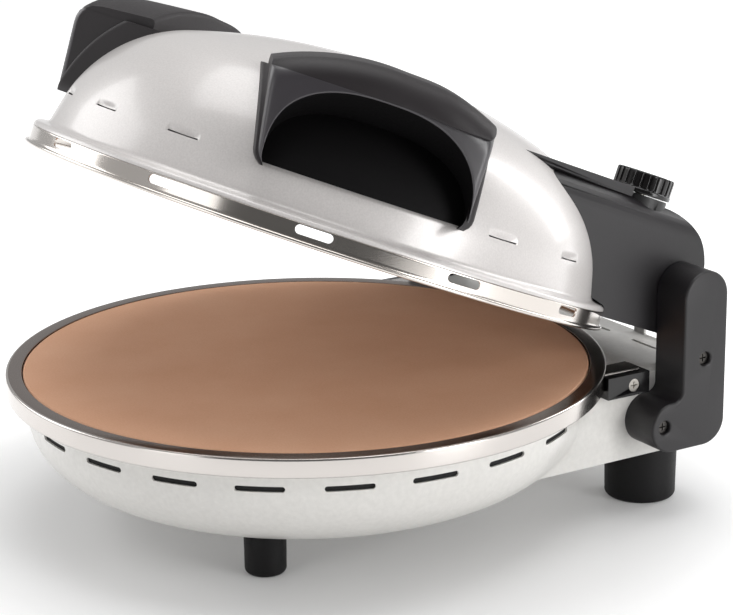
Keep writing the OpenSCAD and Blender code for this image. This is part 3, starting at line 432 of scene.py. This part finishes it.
def domeLines():
    # The dome's outer line in two parts, which meet at the louvres' slits: a cubic flare, the shoulder's circle
    # with more points over the slits, and the crown's circle.
    start, end = np.array([dome["rim"], dome["rimHeight"]]), np.array([dome["wallRadius"], dome["wallLow"]])
    flare = bezier(start, start + dome["flareStart"], end + dome["flareEnd"], end, 14)
    nearEnd = slitAngle + louvre["nearSpan"]
    wall = arc(shoulderMiddle, dome["shoulder"], dome["lean"], slitAngle, 7)
    near = arc(shoulderMiddle, dome["shoulder"], slitAngle, nearEnd, 20)
    bend = arc(shoulderMiddle, dome["shoulder"], nearEnd, shoulderEnd, 30)[1:]
    crown = arc(crownMiddle, dome["crown"], shoulderEnd, 90, 34)[1:]
    crown[-1] = (0, dome["top"])
    return np.vstack([flare, wall]), np.vstack([near, bend, crown])


def louvreAngles():
    # even steps round the dome, but for the places under the control box and the grips
    a = louvre["first"] + np.arange(louvre["count"]) * 360 / louvre["count"]
    c, s = np.cos(np.radians(a)), np.sin(np.radians(a))
    clearOfBox = (s < 0) | (np.abs(c) * louvre["radius"] > louvre["boxHalf"] + louvre["boxClear"])
    return a[clearOfBox & (np.abs(np.degrees(np.arcsin(-s)) - louvre["gripTurn"]) > louvre["gripClear"])]


def fromLouvre(angles):
    # degrees from each angle to the middle of the louvre nearest to it
    return np.abs((angles[None, :] - louvreAngles()[:, None] + 180) % 360 - 180).min(0)


def dentLift(line, angles):
    # How far a louvre presses the sheet in above its slit: its dent, times 1 less the squared share of the way to
    # its end, to a power below 1, times a smooth fade over its reach up the dome.
    share = np.radians(fromLouvre(angles)) * louvre["radius"] / (louvre["length"] / 2)
    across = np.clip(1 - share ** 2, 0, 1) ** louvre["fullness"]
    fade = ease(1 - (runAlong(line) - louvre["slit"]) / louvre["reach"])
    return -louvre["dent"] * fade[:, None] * across[None, :]


def slitOpen(patch, angles):
    # the patch without its two lowest rows along each slit, up to a little before the louvre's ends
    inside = np.radians(fromLouvre(angles)) * louvre["radius"] < louvre["length"] / 2 - louvre["endClear"]
    shut = ~(inside & np.roll(inside, -1))
    keep = np.concatenate([shut, shut, np.ones(len(patch[1]) - 2 * len(angles), bool)])
    return patch[0], patch[1][keep], patch[2]


def addDome():
    # the dome's line carried round its axis, with the angles close together across each louvre
    across = np.degrees(np.linspace(-louvre["fineHalf"], louvre["fineHalf"], louvre["fineCount"]) / louvre["radius"])
    fine = (louvreAngles()[:, None] + across[None, :]).ravel()
    coarse = around[fromLouvre(around) > louvre["coarseFrom"]]
    angles = np.sort(np.concatenate([fine % 360, coarse]))
    low, high = domeLines()
    patches = [revolved(low, angles), slitOpen(revolved(high, angles, dentLift(high, angles)), angles)]
    addPiece("domeShell", patches, "pearl", "lid_dome", ("lid_dome",), onLid, dome["sheet"])


addDome()

# The lid's rim band, with its row of slots and a rolled flange
rim = dict(radius=174.0, low=5.0, high=11.4, sheet=0.8, turn=0.6, lip=(157.4, 12.0), neck=3.7, bead=1.2,
           beadMiddle=(174.8, 2.2), hem=(173.6, 1.0))
rimSlot = dict(length=20.5, height=5.0, middle=8.6, count=9, step=28.2)


def addRim():
    # the slotted wall, a round bead below it and the lip turned in above it
    radius = rim["radius"]
    patches, edge = slottedWall(radius, rim["low"], rim["high"], rimSlot)
    bead = arc(rim["beadMiddle"], rim["bead"], -100, 120, 16)
    below = np.vstack([rim["hem"], bead, (radius, rim["neck"]), (radius, rim["low"])])
    turned = arc((radius - rim["turn"], rim["high"]), rim["turn"], 0, 90, 5)
    above = np.vstack([turned, rim["lip"]])
    patches += [revolved(below, edge), revolved(above, edge)]
    addPiece("rimBand", patches, "rimSteel", "lid_rim", ("lid_rim",), onLid, rim["sheet"])


addRim()

# The trim ring round the stone: hem, skirt, top and lip, and the tabs that the side clips hold.
# Corners are (radius or x, height, rounding).
trim = dict(line=((175.2, 80.0, 0), (176.8, 80.0, 0.9), (176.8, 91.0, 1.6), (167.3, 91.0, 0.5), (167.3, 89.6, 0)),
            sheet=0.8, tab=((107.0, 89.4, 0), (120.6, 89.4, 1.5), (120.6, 85.9, 0)), tabFront=127.5, tabLength=27.0)


def addTrimRing(steps=6):
    # the line carried round the axis; the tabs are folded strips
    line = softLine(trim["line"], steps)
    bend = 3 * steps  # the top, in its darker finish of painted shade, begins behind the third corner
    patches = [revolved(line[:bend], around), revolved(line[bend - 1:], around, shade=1)]
    addPiece("trimRingSpun", patches, ("trimSteel", "trimTop"), "trim_ring", ("trim_ring",), wall=trim["sheet"])
    y = np.linspace(trim["tabFront"], trim["tabFront"] + trim["tabLength"], 9)
    fold = softLine(trim["tab"])
    tab = gridPatch(fold[:, 0][None, :], y[:, None], fold[:, 1][None, :])
    for mirrored in (False, True):
        addPiece("ringTab" + "RL"[mirrored], [tab], "trimSteel", "trim_ring", wall=trim["sheet"], mirrored=mirrored)


addTrimRing()
print("lid and ring made")

# The pan under the stone, with a ledge above its slotted wall that carries the trim ring
pan = dict(radius=165.0, floorRadius=102.0, floor=23.0, wallLow=67.0, wallHigh=77.8, sheet=1.2,
           ledge=((163.9, 77.8), (169.8, 77.8), (169.8, 89.0), (173.2, 89.0), (173.2, 90.1), (168.6, 90.1),
                  (168.6, 79.0), (163.9, 79.0), (163.9, 77.8)))
panSlot = dict(length=27.5, height=3.2, middle=69.5, count=15, step=16.8)


def addPan():
    # a flat floor, a quarter of an ellipse up to the slotted wall, and the ledge's closed outline, all revolved
    patches, edge = slottedWall(pan["radius"], pan["wallLow"], pan["wallHigh"], panSlot)
    radii = (pan["radius"] - pan["floorRadius"], pan["wallLow"] - pan["floor"])
    curve = arc((pan["floorRadius"], pan["wallLow"]), radii, -90, 0, 40)
    floor = np.linspace((0, pan["floor"]), (pan["floorRadius"], pan["floor"]), 8)[:-1]
    patches.append(revolved(np.vstack([floor, curve]), edge))
    points, faces, shades = thickened(*joined(patches), pan["sheet"])
    ledge = revolved(np.array(pan["ledge"]), around)
    addPiece("panShell", [(points, faces, 0), ledge], "pan", "base_pan", ("base_pan",))


addPan()

# The tail flows into the pan's side through a hollow strip
blend = dict(side=120.0, radius=26.0, low=34.0, high=77.6, clear=0.1)


def addTailBlend():
    # at each height, an arc that touches the pan's round outline and the tail's flat side
    z = np.linspace(blend["low"], blend["high"], 24)[:, None]
    drop = np.clip((pan["wallLow"] - z) / (pan["wallLow"] - pan["floor"]), 0, 1)
    r = pan["floorRadius"] + (pan["radius"] - pan["floorRadius"]) * np.sqrt(1 - drop ** 2) + blend["clear"]
    x0 = blend["side"] + blend["clear"] + blend["radius"]
    y0 = np.sqrt((r + blend["radius"]) ** 2 - x0 ** 2)
    a = np.pi + np.arctan2(y0, x0) * np.linspace(1, 0, 10)[None, :]
    x, y = x0 + blend["radius"] * np.cos(a), y0 + blend["radius"] * np.sin(a)
    # the first and last rows close the strip onto the line where the pan and the tail meet
    z = np.vstack([z[:1], z, z[-1:]])
    side = x[:1] * 0 + blend["side"]
    meet = np.sqrt(r ** 2 - side ** 2)
    x, y = np.vstack([side, x, side]), np.vstack([meet[:1], y, meet[-1:]])
    for mirrored in (False, True):
        addPiece("tailBlend" + "RL"[mirrored], [gridPatch(x, y, z)], "pan", "rear_housing", mirrored=mirrored)


addTailBlend()
print("pan made")

# The grips, drawn in their own directions: u outwards, v to the back, w up from the ring's top face
grip = dict(turn=29.0, reach=174.0, half=64.5, bodyHalf=61.0, low=35.0, top=102.3, arch=14.0, bow=8.0, bowHalf=64.0,
            bend=14.0, round=13.0, endRound=3.0, edgeRound=1.0, sag=1.5, sink=1.5)
# The front end's lean and the rounding of both feet
lean = dict(most=9.0, top=84.0, over=48.0, footRound=8.0, footLift=2.5, footLeft=0.3)
# The brow: its lip grows from a little behind the middle, and its arch runs on to the back
brow = dict(lipLine=84.2, lipFrom=8.0, lipOver=32.0, lip=2.5, lipEdge=0.8, lipBehind=0.9, drop=2.2, dropOver=42.0,
            tip=4.0, faceUnder=1.8, faceFrom=15.0, faceOver=20.0, back=110.0, backRound=3.0, rise=3.0, riseFrom=158.0,
            riseOver=45.0, capMiddle=(130.0, 66.0), capIn=0.02)
# The thin skirt round the grip's ends: its line is (in from the end, share of its full thickness)
skirt = dict(thick=13.0, top=84.8, edge=1.0, below=1.5, overlap=3.0,
             line=((5.0, 1.0), (1.4, 1.0), (0.7, 0.97), (0.2, 0.91), (0.0, 0.83), (0.0, 0.0)))
pocket = dict(half=59.0, middle=2.0, height=48.8, square=0.74, tilt=24.0, skin=3.0, deepest=60.0)


def leaned(v, w):
    # the grip's front end draws in towards its foot, and both feet are rounded off
    v, w = np.broadcast_arrays(v, w)
    front = lean["most"] * np.clip((lean["top"] - w) / lean["over"], 0, 1) * np.clip(-v / grip["half"], 0, 1) ** 4
    past = np.clip(lean["footRound"] - (w - grip["low"] + lean["footLift"]), 0, lean["footRound"] - lean["footLeft"])
    foot = circleDrop(lean["footRound"], past)
    return v + front - np.sign(v) * foot * np.clip(np.abs(v) / grip["bodyHalf"], 0, 1) ** 8


def bowDrop(v, half, rise):
    # how far a circular bow, which rises so much over a half length, has dropped at v
    return circleDrop((half ** 2 + rise ** 2) / (2 * rise), v)


def bendMiddle(v):
    # the middle of the rounding between the bowed face and the arched top, as (u, w)
    return (grip["reach"] - grip["bend"] - bowDrop(v, grip["bowHalf"], grip["bow"]),
            grip["top"] - grip["bend"] - bowDrop(v, grip["bodyHalf"], grip["arch"]))


def endTurn(v):
    # how far the face turns in at the grip's two ends
    past = np.clip(np.abs(v) - (grip["bodyHalf"] - grip["endRound"]), 0, grip["endRound"])
    return circleDrop(grip["endRound"], past)


def bodyOut(v, w):
    # u of the grip's face: upright and bowed, rounded over into the arch above
    u, height = bendMiddle(v)
    return u + np.sqrt(grip["round"] ** 2 - np.clip(w - height, 0, grip["round"]) ** 2) - endTurn(v)


def skinOut(v, w, away):
    # u of the dome's surface, moved out by away, at the place v, w: the wall's slope, the shoulder's circle
    # or the crown's, whichever holds at that height
    start, end = radians(dome["lean"]), radians(shoulderEnd)
    radius = dome["shoulder"] + away
    wall = dome["wallRadius"] + away / cos(start) - (w - dome["wallLow"]) * tan(start)
    shoulder = shoulderMiddle[0] + np.sqrt(np.maximum(radius ** 2 - (w - shoulderMiddle[1]) ** 2, 0))
    crown = np.sqrt(np.maximum((dome["crown"] + away) ** 2 - (w - crownMiddle[1]) ** 2, 0))
    reach = np.where(w < shoulderMiddle[1] + radius * sin(start), wall,
                     np.where(w > shoulderMiddle[1] + radius * sin(end), crown, shoulder))
    return np.sqrt(np.maximum(reach ** 2 - leaned(v, w) ** 2, 0))


def faceTop(v):
    # the face ends at the brow's lip; behind, where the lip stands proud, it runs on a little under it
    return brow["lipLine"] + brow["faceUnder"] * ease((v - brow["faceFrom"]) / brow["faceOver"])


def pocketEdge(count=72):
    # The half-moon edge of the finger pocket, from front foot to back foot: half an ellipse with its cosine and
    # sine to a power below 1, tilted back with the ceiling. It has count points at even turns and two more
    # towards the face's upper corners.
    low, middle, body = grip["low"], pocket["middle"], grip["bodyHalf"]
    a = np.linspace(0, np.pi, 721)
    bowed = np.sign(np.cos(a)) * np.abs(np.cos(a)) ** pocket["square"]
    v = middle - pocket["half"] * bowed
    w = low + pocket["height"] * np.sin(a) ** pocket["square"]
    w = np.maximum(w + (bodyOut(v, w) - grip["reach"]) * tan(radians(pocket["tilt"])), low)
    polar = np.unwrap(np.arctan2(w - low, v - middle))
    polar, keep = np.unique(-polar, return_index=True)
    corners = [-atan2(faceTop(side) - low, side - middle) for side in (-body, body)]
    wanted = np.sort(np.concatenate([np.linspace(polar[0], polar[-1], count), corners]))
    return np.interp(wanted, polar, v[keep]), np.interp(wanted, polar, w[keep]), -wanted


def gripPatches():
    # The grip's front: the face runs out along rays from the pocket's edge to the grip's outline, the edge is a
    # quarter circle, the ceiling runs in at the tilt to the skin on the dome, and the panel is that skin.
    # Returned with the samples of v along the face's top.
    low, middle, body = grip["low"], pocket["middle"], grip["bodyHalf"]
    v, w, polar = pocketEdge()
    dv, dw = np.gradient(v), np.gradient(w)
    length = np.maximum(np.hypot(dv, dw), 1e-9)
    nv, nw = -dw / length, dv / length
    # the outline that the face reaches, along rays from the pocket's middle
    c, s = np.cos(polar), np.sin(polar)
    side = np.where(c > 0, body - middle, body + middle)
    toSide = side / np.maximum(np.abs(c), 1e-9)
    toTop = (brow["lipLine"] - low) / np.maximum(s, 1e-9)
    for _ in range(4):  # the top depends on where the ray meets it: four rounds settle it
        toTop = (faceTop(middle + toTop * c) - low) / np.maximum(s, 1e-9)
    far = np.minimum(toSide, toTop)
    outV, outW = middle + far * c, low + far * s
    edge = grip["edgeRound"]
    innerV, innerW = v + nv * edge, np.maximum(w + nw * edge, low)
    t = (1 - (1 - np.linspace(0, 1, 14)) ** 1.8)[:, None]  # closer together at the outline
    faceV, faceW = innerV + (outV - innerV) * t, innerW + (outW - innerW) * t
    # the pocket's rounded edge: a quarter circle from the face into the ceiling
    b = np.radians(np.linspace(90, 0, 7))[:, None]
    edgeV, edgeW = v + nv * edge * (1 - np.sin(b)), np.maximum(w + nw * edge * (1 - np.sin(b)), low)
    edgeU = bodyOut(edgeV, edgeW) - edge * (1 - np.cos(b))
    # the ceiling slopes down inwards until it meets the skin on the dome
    tilt = radians(pocket["tilt"])
    startU = edgeU[0]
    run = np.linspace(0, pocket["deepest"], 241)[:, None]
    gap = startU - run * cos(tilt) - skinOut(v, w - run * sin(tilt), pocket["skin"])
    hit = np.argmax(gap < 0, axis=0)
    place = np.arange(len(v))
    part = gap[hit - 1, place] / (gap[hit - 1, place] - gap[hit, place])
    reach = (run[hit - 1, 0] + part * run[1, 0])[None, :] * np.linspace(1, 0, 12)[:, None]
    ceilingU = startU - reach * cos(tilt)
    ceilingW = np.maximum(w - reach * sin(tilt), low)
    # the panel behind the pocket, from its lower edge up to the ceiling
    panelW = low + (ceilingW[0] - low) * np.linspace(0, 1, 12)[:, None]
    panelV = np.broadcast_to(v, panelW.shape)
    # the face and its edge take shade 2, the smooth finish whose lighter colour is painted sheen
    patches = [gridPatch(bodyOut(faceV, faceW), faceV, faceW, shade=2),
               gridPatch(edgeU, edgeV, edgeW, shade=2),
               # the ceiling and the panel take shade 1, the pocket's painted shade
               gridPatch(ceilingU, v[None, :], ceilingW, shade=1),
               gridPatch(skinOut(panelV, panelW, pocket["skin"]), panelV, panelW, flipped=True, shade=1)]
    onTop = toTop <= toSide + 1e-9
    return patches, np.sort(outV[onTop])


def endPatches(sign):
    # one end of the grip: its flat cheek, and the thin skirt beyond it
    height = np.linspace(grip["low"], faceTop(sign * grip["bodyHalf"]), 30)
    v = np.full_like(height, sign * grip["bodyHalf"])
    start, end = skinOut(v, height, skirt["thick"] - skirt["overlap"]), bodyOut(v, height)
    share = np.linspace(0, 1, 5)[:, None]
    cheek = gridPatch(start + (np.maximum(end, start) - start) * share, v, height, flipped=sign > 0)
    # the skirt: rows climb the wall and then run in over its flat top; columns pass round its outer edge
    wallTop = skirt["top"] - skirt["edge"]
    wallHeight = np.linspace(grip["low"] - skirt["below"], wallTop, 24)
    cap = softLine([(1, 0, 0), (1, 1, 0.5), (0, 1, 0)], 7)[6:]
    w = np.concatenate([wallHeight, wallTop + skirt["edge"] * np.minimum(cap[:, 1], 1)])[:, None]
    inwards = np.concatenate([wallHeight * 0 + 1, cap[:, 0]])[:, None]
    column = np.array(skirt["line"])
    across, share = sign * (grip["half"] - column[:, 0])[None, :], column[:, 1][None, :]
    away = skirt["thick"] * share * inwards
    return [cheek, gridPatch(skinOut(across, w, away), across, w, flipped=sign < 0)]


def undersidePatches():
    # the lobes at both ends hang a little lower than the straight lower edge of the skin between them
    patches = []
    low, body, sag = grip["low"], grip["bodyHalf"], grip["sag"]
    front, rear = pocket["middle"] - pocket["half"], pocket["middle"] + pocket["half"]
    # the middle part, under the pocket, takes shade 1: the pocket's painted shade
    for start, end, hang, shade in ((-body, front, sag, 0), (front, rear, 0.0, 1), (rear, body + sag, sag, 0)):
        v = np.linspace(start, end, 9 if hang else 40)[None, :]
        share = np.linspace(0, 1, 6)[:, None]
        inside = skinOut(v, low, -0.5)  # just under the dome's sheet
        if shade:
            outside = skinOut(v, low, pocket["skin"])
        else:
            outside = bodyOut(np.clip(v, -body, body), low)
        drop = hang * np.sqrt(np.clip(1 - ((v - (start + end) / 2) / ((end - start) / 2)) ** 2, 0, 1))
        lower = low - drop * np.minimum(share * 5, 1)
        patches.append(gridPatch(inside + (outside - inside) * share, v, lower, shade=shade))
    return patches


def browPatches(v):
    # the brow over the pocket: for each v, a line out under its lip, up, round into the arch, in to the back
    # and down behind. In front the lip fades out and the line starts on the face itself.
    v = np.concatenate([v[:-1], grip["bodyHalf"] - grip["endRound"] * (1 - np.sin(np.linspace(0, np.pi / 2, 8)))])
    v = np.unique(np.round(v, 6))
    tip, back = brow["tip"], brow["back"] + brow["backRound"]
    proud = ease((v - brow["lipFrom"]) / brow["lipOver"])
    tongue = np.clip(v - (grip["bodyHalf"] - tip), 0, tip)
    low = brow["lipLine"] - brow["drop"] * ease((v - brow["lipFrom"]) / brow["dropOver"])
    low = low + circleDrop(tip, tongue)
    middle, height = bendMiddle(v)
    radius = grip["round"] + brow["lip"] * proud
    begin = np.arcsin(np.clip((low + brow["lipEdge"] * proud - height) / radius, 0, 1))
    foot = middle + radius * np.cos(begin) - endTurn(v)
    face = bodyOut(v, low)
    # under the lip: shares of the way out from the face, and of the height of the lip's edge
    under = np.array([(-0.6, 0), (0.0, 0), (0.7, 0), (0.92, 0.3), (1.0, 0.85)])
    a = begin + (np.pi / 2 - begin) * np.linspace(0, 1, 18)[:, None]
    topU = middle + (back - middle) * np.linspace(0, 1, 10)[1:, None]
    topW = height + radius + brow["rise"] * np.clip((brow["riseFrom"] - topU) / brow["riseOver"], 0, 1) ** 0.8
    turn = np.radians(np.linspace(90, 180, 7))[1:, None]
    # the dome under the brow's back edge, which sinks a little into it
    out = np.hypot(brow["back"], v) - shoulderMiddle[0]
    ground = shoulderMiddle[1] - grip["sink"] + np.sqrt(dome["shoulder"] ** 2 - out ** 2)
    u = np.vstack([face + (foot - face) * under[:, :1] - brow["lipBehind"] * proud * (under[:, :1] < 0),
                   middle + radius * np.cos(a) - endTurn(v) * np.cos(a) ** 0.5,
                   topU,
                   back + brow["backRound"] * np.cos(turn) + 0 * v,
                   v * 0 + brow["back"]])
    w = np.vstack([low + brow["lipEdge"] * proud * under[:, 1:],
                   height + radius * np.sin(a),
                   topW,
                   topW[-1] + brow["backRound"] * (np.sin(turn) - 1),
                   ground])
    patches = [gridPatch(u, v[None, :], w)]
    for column, flipped in ((0, False), (-1, True)):
        # the end's cap draws in a little towards its middle, so that it lies behind the cheek, not in it
        t = np.linspace(0, 1, 6)[None, :]
        patches.append(gridPatch(u[:, column, None] * (1 - t) + brow["capMiddle"][0] * t,
                                 v[column] * (1 - brow["capIn"] * t),
                                 w[:, column, None] * (1 - t) + brow["capMiddle"][1] * t, flipped=flipped))
    return patches


def toLid(patch):
    # a patch in the grip's directions, leaned at its front end and turned to its place on the closed lid
    u, v, w = patch[0].T
    v, turn = leaned(v, w), radians(grip["turn"])
    x, y = u * cos(turn) + v * sin(turn), v * cos(turn) - u * sin(turn)
    return np.stack([x, y, w], -1), *patch[1:]


def addGrips():
    # one grip's patches, and the same ones mirrored for the other side
    body, topSamples = gripPatches()
    patches = body + endPatches(-1) + endPatches(1) + undersidePatches() + browPatches(topSamples)
    patches = [toLid(patch) for patch in patches]
    # finishes by shade: the matt grip, the pocket's painted shade, the smooth face with painted sheen
    for node, mirrored in (("handle_right", False), ("handle_left", True)):
        addPiece(node + "Grip", patches, ("grip", "pocket", "face"), node, (node,), onLid, mirrored=mirrored,
                 sharp=38.0)


addGrips()
print("grips made")

# The thermostat knob: fluted round its side, with a groove on top that points at the heat setting
knob = dict(x=99.0, y=142.0, z=83.2, pointsAround=768, topRun=32.0, topPoints=60,
            line=((0, 0, 0), (17.7, 0, 0.6), (17.7, 2.4, 0.4), (17.2, 2.7, 0.3), (17.2, 12.5, 1.4), (0, 12.5, 0)))
flute = dict(count=24, depth=1.0, foot=2.7, grow=0.8, inner=15.3, over=1.2)
mark = dict(start=6.0, end=16.0, turn=90.0, half=2.4, deep=0.6, above=12.0)


def addKnob():
    # The line of a flange and a wall, carried round. A flute takes off its depth times the cosine round the
    # knob, where that is above 0, to a power of 0.7; it grows from nothing above its foot and towards the rim.
    a = np.arange(knob["pointsAround"]) * 360 / knob["pointsAround"]
    side = softLine(knob["line"])
    # more points along the fluted wall and over the top
    run = runAlong(side)
    wanted = np.sort(np.concatenate([run, np.linspace(run[-1] - knob["topRun"], run[-1], knob["topPoints"])]))
    r, z = np.interp(wanted, run, side[:, 0])[:, None], np.interp(wanted, run, side[:, 1])[:, None]
    wave = flute["depth"] * np.clip(np.cos(np.radians(a * flute["count"])), 0, 1) ** 0.7
    grown = np.clip((z - flute["foot"]) / flute["grow"], 0, 1) * np.clip((r - flute["inner"]) / flute["over"], 0, 1)
    radius = r - grown * wave[None, :]
    near = np.abs((a - mark["turn"] + 180) % 360 - 180)[None, :]
    sunk = (near < mark["half"]) & (r > mark["start"]) & (r < mark["end"]) & (z > mark["above"])
    t = np.radians(a)[None, :]
    patch = gridPatch(knob["x"] + radius * np.cos(t), knob["y"] + radius * np.sin(t),
                      knob["z"] + z - mark["deep"] * sunk, around=True)
    addPiece("flutedKnob", [patch], "gloss", "knob", ("knob",), onLid)


addKnob()

# The frame's own pieces: points closer than merge metres become one, faces within flat degrees are joined,
# and an edge that turns more than bevelFrom radians can be rounded
clean = dict(merge=2e-6, flat=0.4, bevelFrom=0.6)


def roundEdges(work, test, size):
    # a round bevel on the sharp edges whose middles pass the test; middles are in millimetres in the frame
    work.edges.ensure_lookup_table()
    turned = [edge for edge in work.edges
              if len(edge.link_faces) == 2 and edge.calc_face_angle(0) > clean["bevelFrom"]]
    chosen = [edge for edge in turned if test((edge.verts[0].co + edge.verts[1].co) / (2 * mm))]
    bmesh.ops.bevel(work, geom=chosen, offset=size * mm, segments=4, profile=0.5, affect="EDGES",
                    clamp_overlap=False)


def dressed(node, finish, rounded=(), second=None):
    # The frame's own form, cleaned, with some edges rounded. Rounded lists tests and sizes for roundEdges;
    # second is another finish and a test on (middle in mm, normal) for the faces that take it.
    mesh = nodes[node].data.copy()
    work = bmesh.new()
    work.from_mesh(mesh)
    bmesh.ops.remove_doubles(work, verts=work.verts, dist=clean["merge"])
    bmesh.ops.dissolve_limit(work, angle_limit=radians(clean["flat"]), verts=work.verts, edges=work.edges)
    for test, size in rounded:
        roundEdges(work, test, size)
    work.to_mesh(mesh)
    work.free()
    mesh.materials.clear()
    mesh.materials.append(finishes[finish])
    if second:
        mesh.materials.append(finishes[second[0]])
        for face in mesh.polygons:
            face.material_index = int(second[1](face.center / mm, face.normal))
    piece = softPiece(node + "Finished", mesh)
    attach(piece, nodes[node]["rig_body"])
    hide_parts(node)


finishOf = dict(
    lower_reflector="reflector", lower_heater="heater", lower_heater_clips="clip", stone="stone",
    ring_clips="gloss", clip_screws="screw", rear_housing="pan", rear_bottom_cover="pan",
    terminal_block="ceramic", cord_gland="gland", hinge_bracket_left="bracket", hinge_bracket_right="bracket",
    hinge_pins="screw", hinge_arm_left="charcoal", hinge_arm_right="charcoal", arm_screws="darkScrew",
    front_feet="foot", rear_feet="foot", foot_screws="screw",
    upper_reflector="reflector", upper_heater="heater", upper_heater_clips="clip",
    handle_screws="screw", control_box="charcoal", control_box_top="charcoal",
    control_box_floor="black", box_screws="screw", thermostat="ceramic", knob_collar="black",
    knob_shaft="screw")
armFace = dict(x=146.0, within=0.05, round=1.3)  # the hinge arms' outer faces
blackened = dict(beyond=163.0, facing=-0.2)  # painted shade: the reflector's rim and underside, behind the pan's slots, are made black


def onArmFace(middle):
    return abs(abs(middle.x) - armFace["x"]) < armFace["within"]


# true on the lower reflector's faces that take the painted shade behind the pan's slots
def inPaintedShade(middle, normal):
    away = hypot(middle.x, middle.y + oven["middleShift"])
    return away > blackened["beyond"] or normal.z < blackened["facing"]


roundedOf = {"hinge_arm_" + side: [(onArmFace, armFace["round"])] for side in ("left", "right")}
# the lower reflector's rim and underside take a painted shade, so the pan's slots look dark
secondOf = dict(lower_reflector=("slotShade", inPaintedShade))
for name, finish in finishOf.items():
    dressed(name, finish, roundedOf.get(name, ()), secondOf.get(name))
print("frame pieces dressed")

# The floor's painted glow, dimmed beneath the oven as a painted shadow: metres from the frame's middle, and strengths
glow = dict(dimTo=0.17, fullFrom=0.34, dim=0.1, full=0.55)


def addFloor(half=6.0):
    # one big white sheet under the feet that glows as painted light all round the oven, and less beneath it as a
    # painted shadow
    mesh = bpy.data.meshes.new("floor")
    mesh.from_pydata([(-half, -half, 0), (half, -half, 0), (half, half, 0), (-half, half, 0)], [], [(0, 1, 2, 3)])
    material, tree, shader, place = startMaterial("glowingFloorPaintedShadow", Roughness=0.5, Emission_Color=srgb("ffffff"))
    away = addNode(tree, "VectorMath", {0: place}, operation="LENGTH").outputs["Value"]
    strength = addNode(tree, "MapRange",
                       {"Value": away, "From Min": glow["dimTo"], "From Max": glow["fullFrom"],
                        "To Min": glow["dim"], "To Max": glow["full"]}, interpolation_type="SMOOTHSTEP")
    tooth = addNode(tree, "TexNoise", {"Vector": place, "Scale": 4.0, "Detail": 2.0})
    colour = ramp(tree, tooth, [(0.0, "dcdcdc"), (1.0, "dedede")])
    feed(shader, {"Emission Strength": strength, "Base Color": colour})
    mesh.materials.append(material)
    floor = inScene("floor", mesh)


# Softboxes: place and aim in metres in the frame, size across and along, power in watts
lamps = dict(
    topSoftbox=((-0.1, 0.2, 1.6), (0, 0, 0.1), (1.5, 1.2), 14),
    backSoftbox=((-1.3, -0.9, 0.9), (0, 0, 0.12), (1.2, 1.0), 9),
    rightSoftbox=((1.65, 0.65, 0.5), (0, 0, 0.15), (0.6, 1.1), 14),
    frontSoftbox=((0.35, -1.8, 0.6), (0, 0, 0.15), (0.7, 1.1), 4),
    rimSoftbox=((0.05, 1.7, 0.75), (0, 0, 0.15), (0.4, 1.3), 9))


def addLamp(name, place, aim, size, power):
    # a white oblong lamp whose face looks along the line from its place to its aim
    lamp = bpy.data.lights.new(name, "AREA")
    lamp.shape, lamp.size, lamp.size_y, lamp.energy = "RECTANGLE", *size, power
    holder = inScene(name, lamp)
    holder.location = place
    holder.rotation_euler = (Vector(aim) - Vector(place)).to_track_quat("-Z", "Y").to_euler()


# The camera: angles in degrees, distance and target in metres, focal length in pixels of a picture that is wide
# pixels across, sensor in millimetres
view = dict(turn=57.98, rise=16.31, distance=1.4, roll=-0.57, target=(0.018, 0.0144, 0.12095), focal=2375.76,
            wide=733, sensor=36.0)


def addCamera():
    # at the front right with a long lens: distance along back from the target, turned about that line by the roll
    a, e, r = (radians(view[k]) for k in ("turn", "rise", "roll"))
    back = Vector((sin(a) * cos(e), -cos(a) * cos(e), sin(e)))
    right = Vector((cos(a), sin(a), 0))
    up = back.cross(right)
    right, up = right * cos(r) + up * sin(r), up * cos(r) - right * sin(r)
    camera = bpy.data.cameras.new("camera")
    camera.sensor_width, camera.lens = view["sensor"], view["focal"] * view["sensor"] / view["wide"]
    camera.clip_start, camera.clip_end = 0.05, 50
    holder = inScene("camera", camera)
    turn = Matrix((right, up, back)).transposed().to_4x4()
    holder.matrix_world = Matrix.Translation(Vector(view["target"]) + back * view["distance"]) @ turn
    scene.camera = holder


addFloor()
addCamera()
for name, lamp in lamps.items():
    addLamp(name, *lamp)

# The room: the way to its cloth, the dot products where the light begins and ends to fall, and its strengths
room = dict(cloth=(0.848, -0.53, 0.0), lightTo=0.35, darkFrom=0.85, light=0.5, dark=0.12)


def addStudioLight():
    # an even white room with a dark cloth in front of the oven for steel and gloss to mirror: its strength falls
    # smoothly as the direction's dot product with the way to the cloth grows
    world = bpy.data.worlds.new("studio")
    scene.world = world
    world.use_nodes = True
    tree = world.node_tree
    direction = addNode(tree, "TexCoord")  # its first output is Generated
    towards = addNode(tree, "VectorMath", {0: direction, 1: room["cloth"]}, operation="DOT_PRODUCT")
    light = addNode(tree, "MapRange",
                    {"Value": towards.outputs["Value"], "From Min": room["lightTo"], "From Max": room["darkFrom"],
                     "To Min": room["light"], "To Max": room["dark"]}, interpolation_type="SMOOTHSTEP")
    feed(tree.nodes["Background"], {"Color": srgb("ffffff"), "Strength": light})


addStudioLight()
scene.view_settings.view_transform = "Standard"
print("stage set")
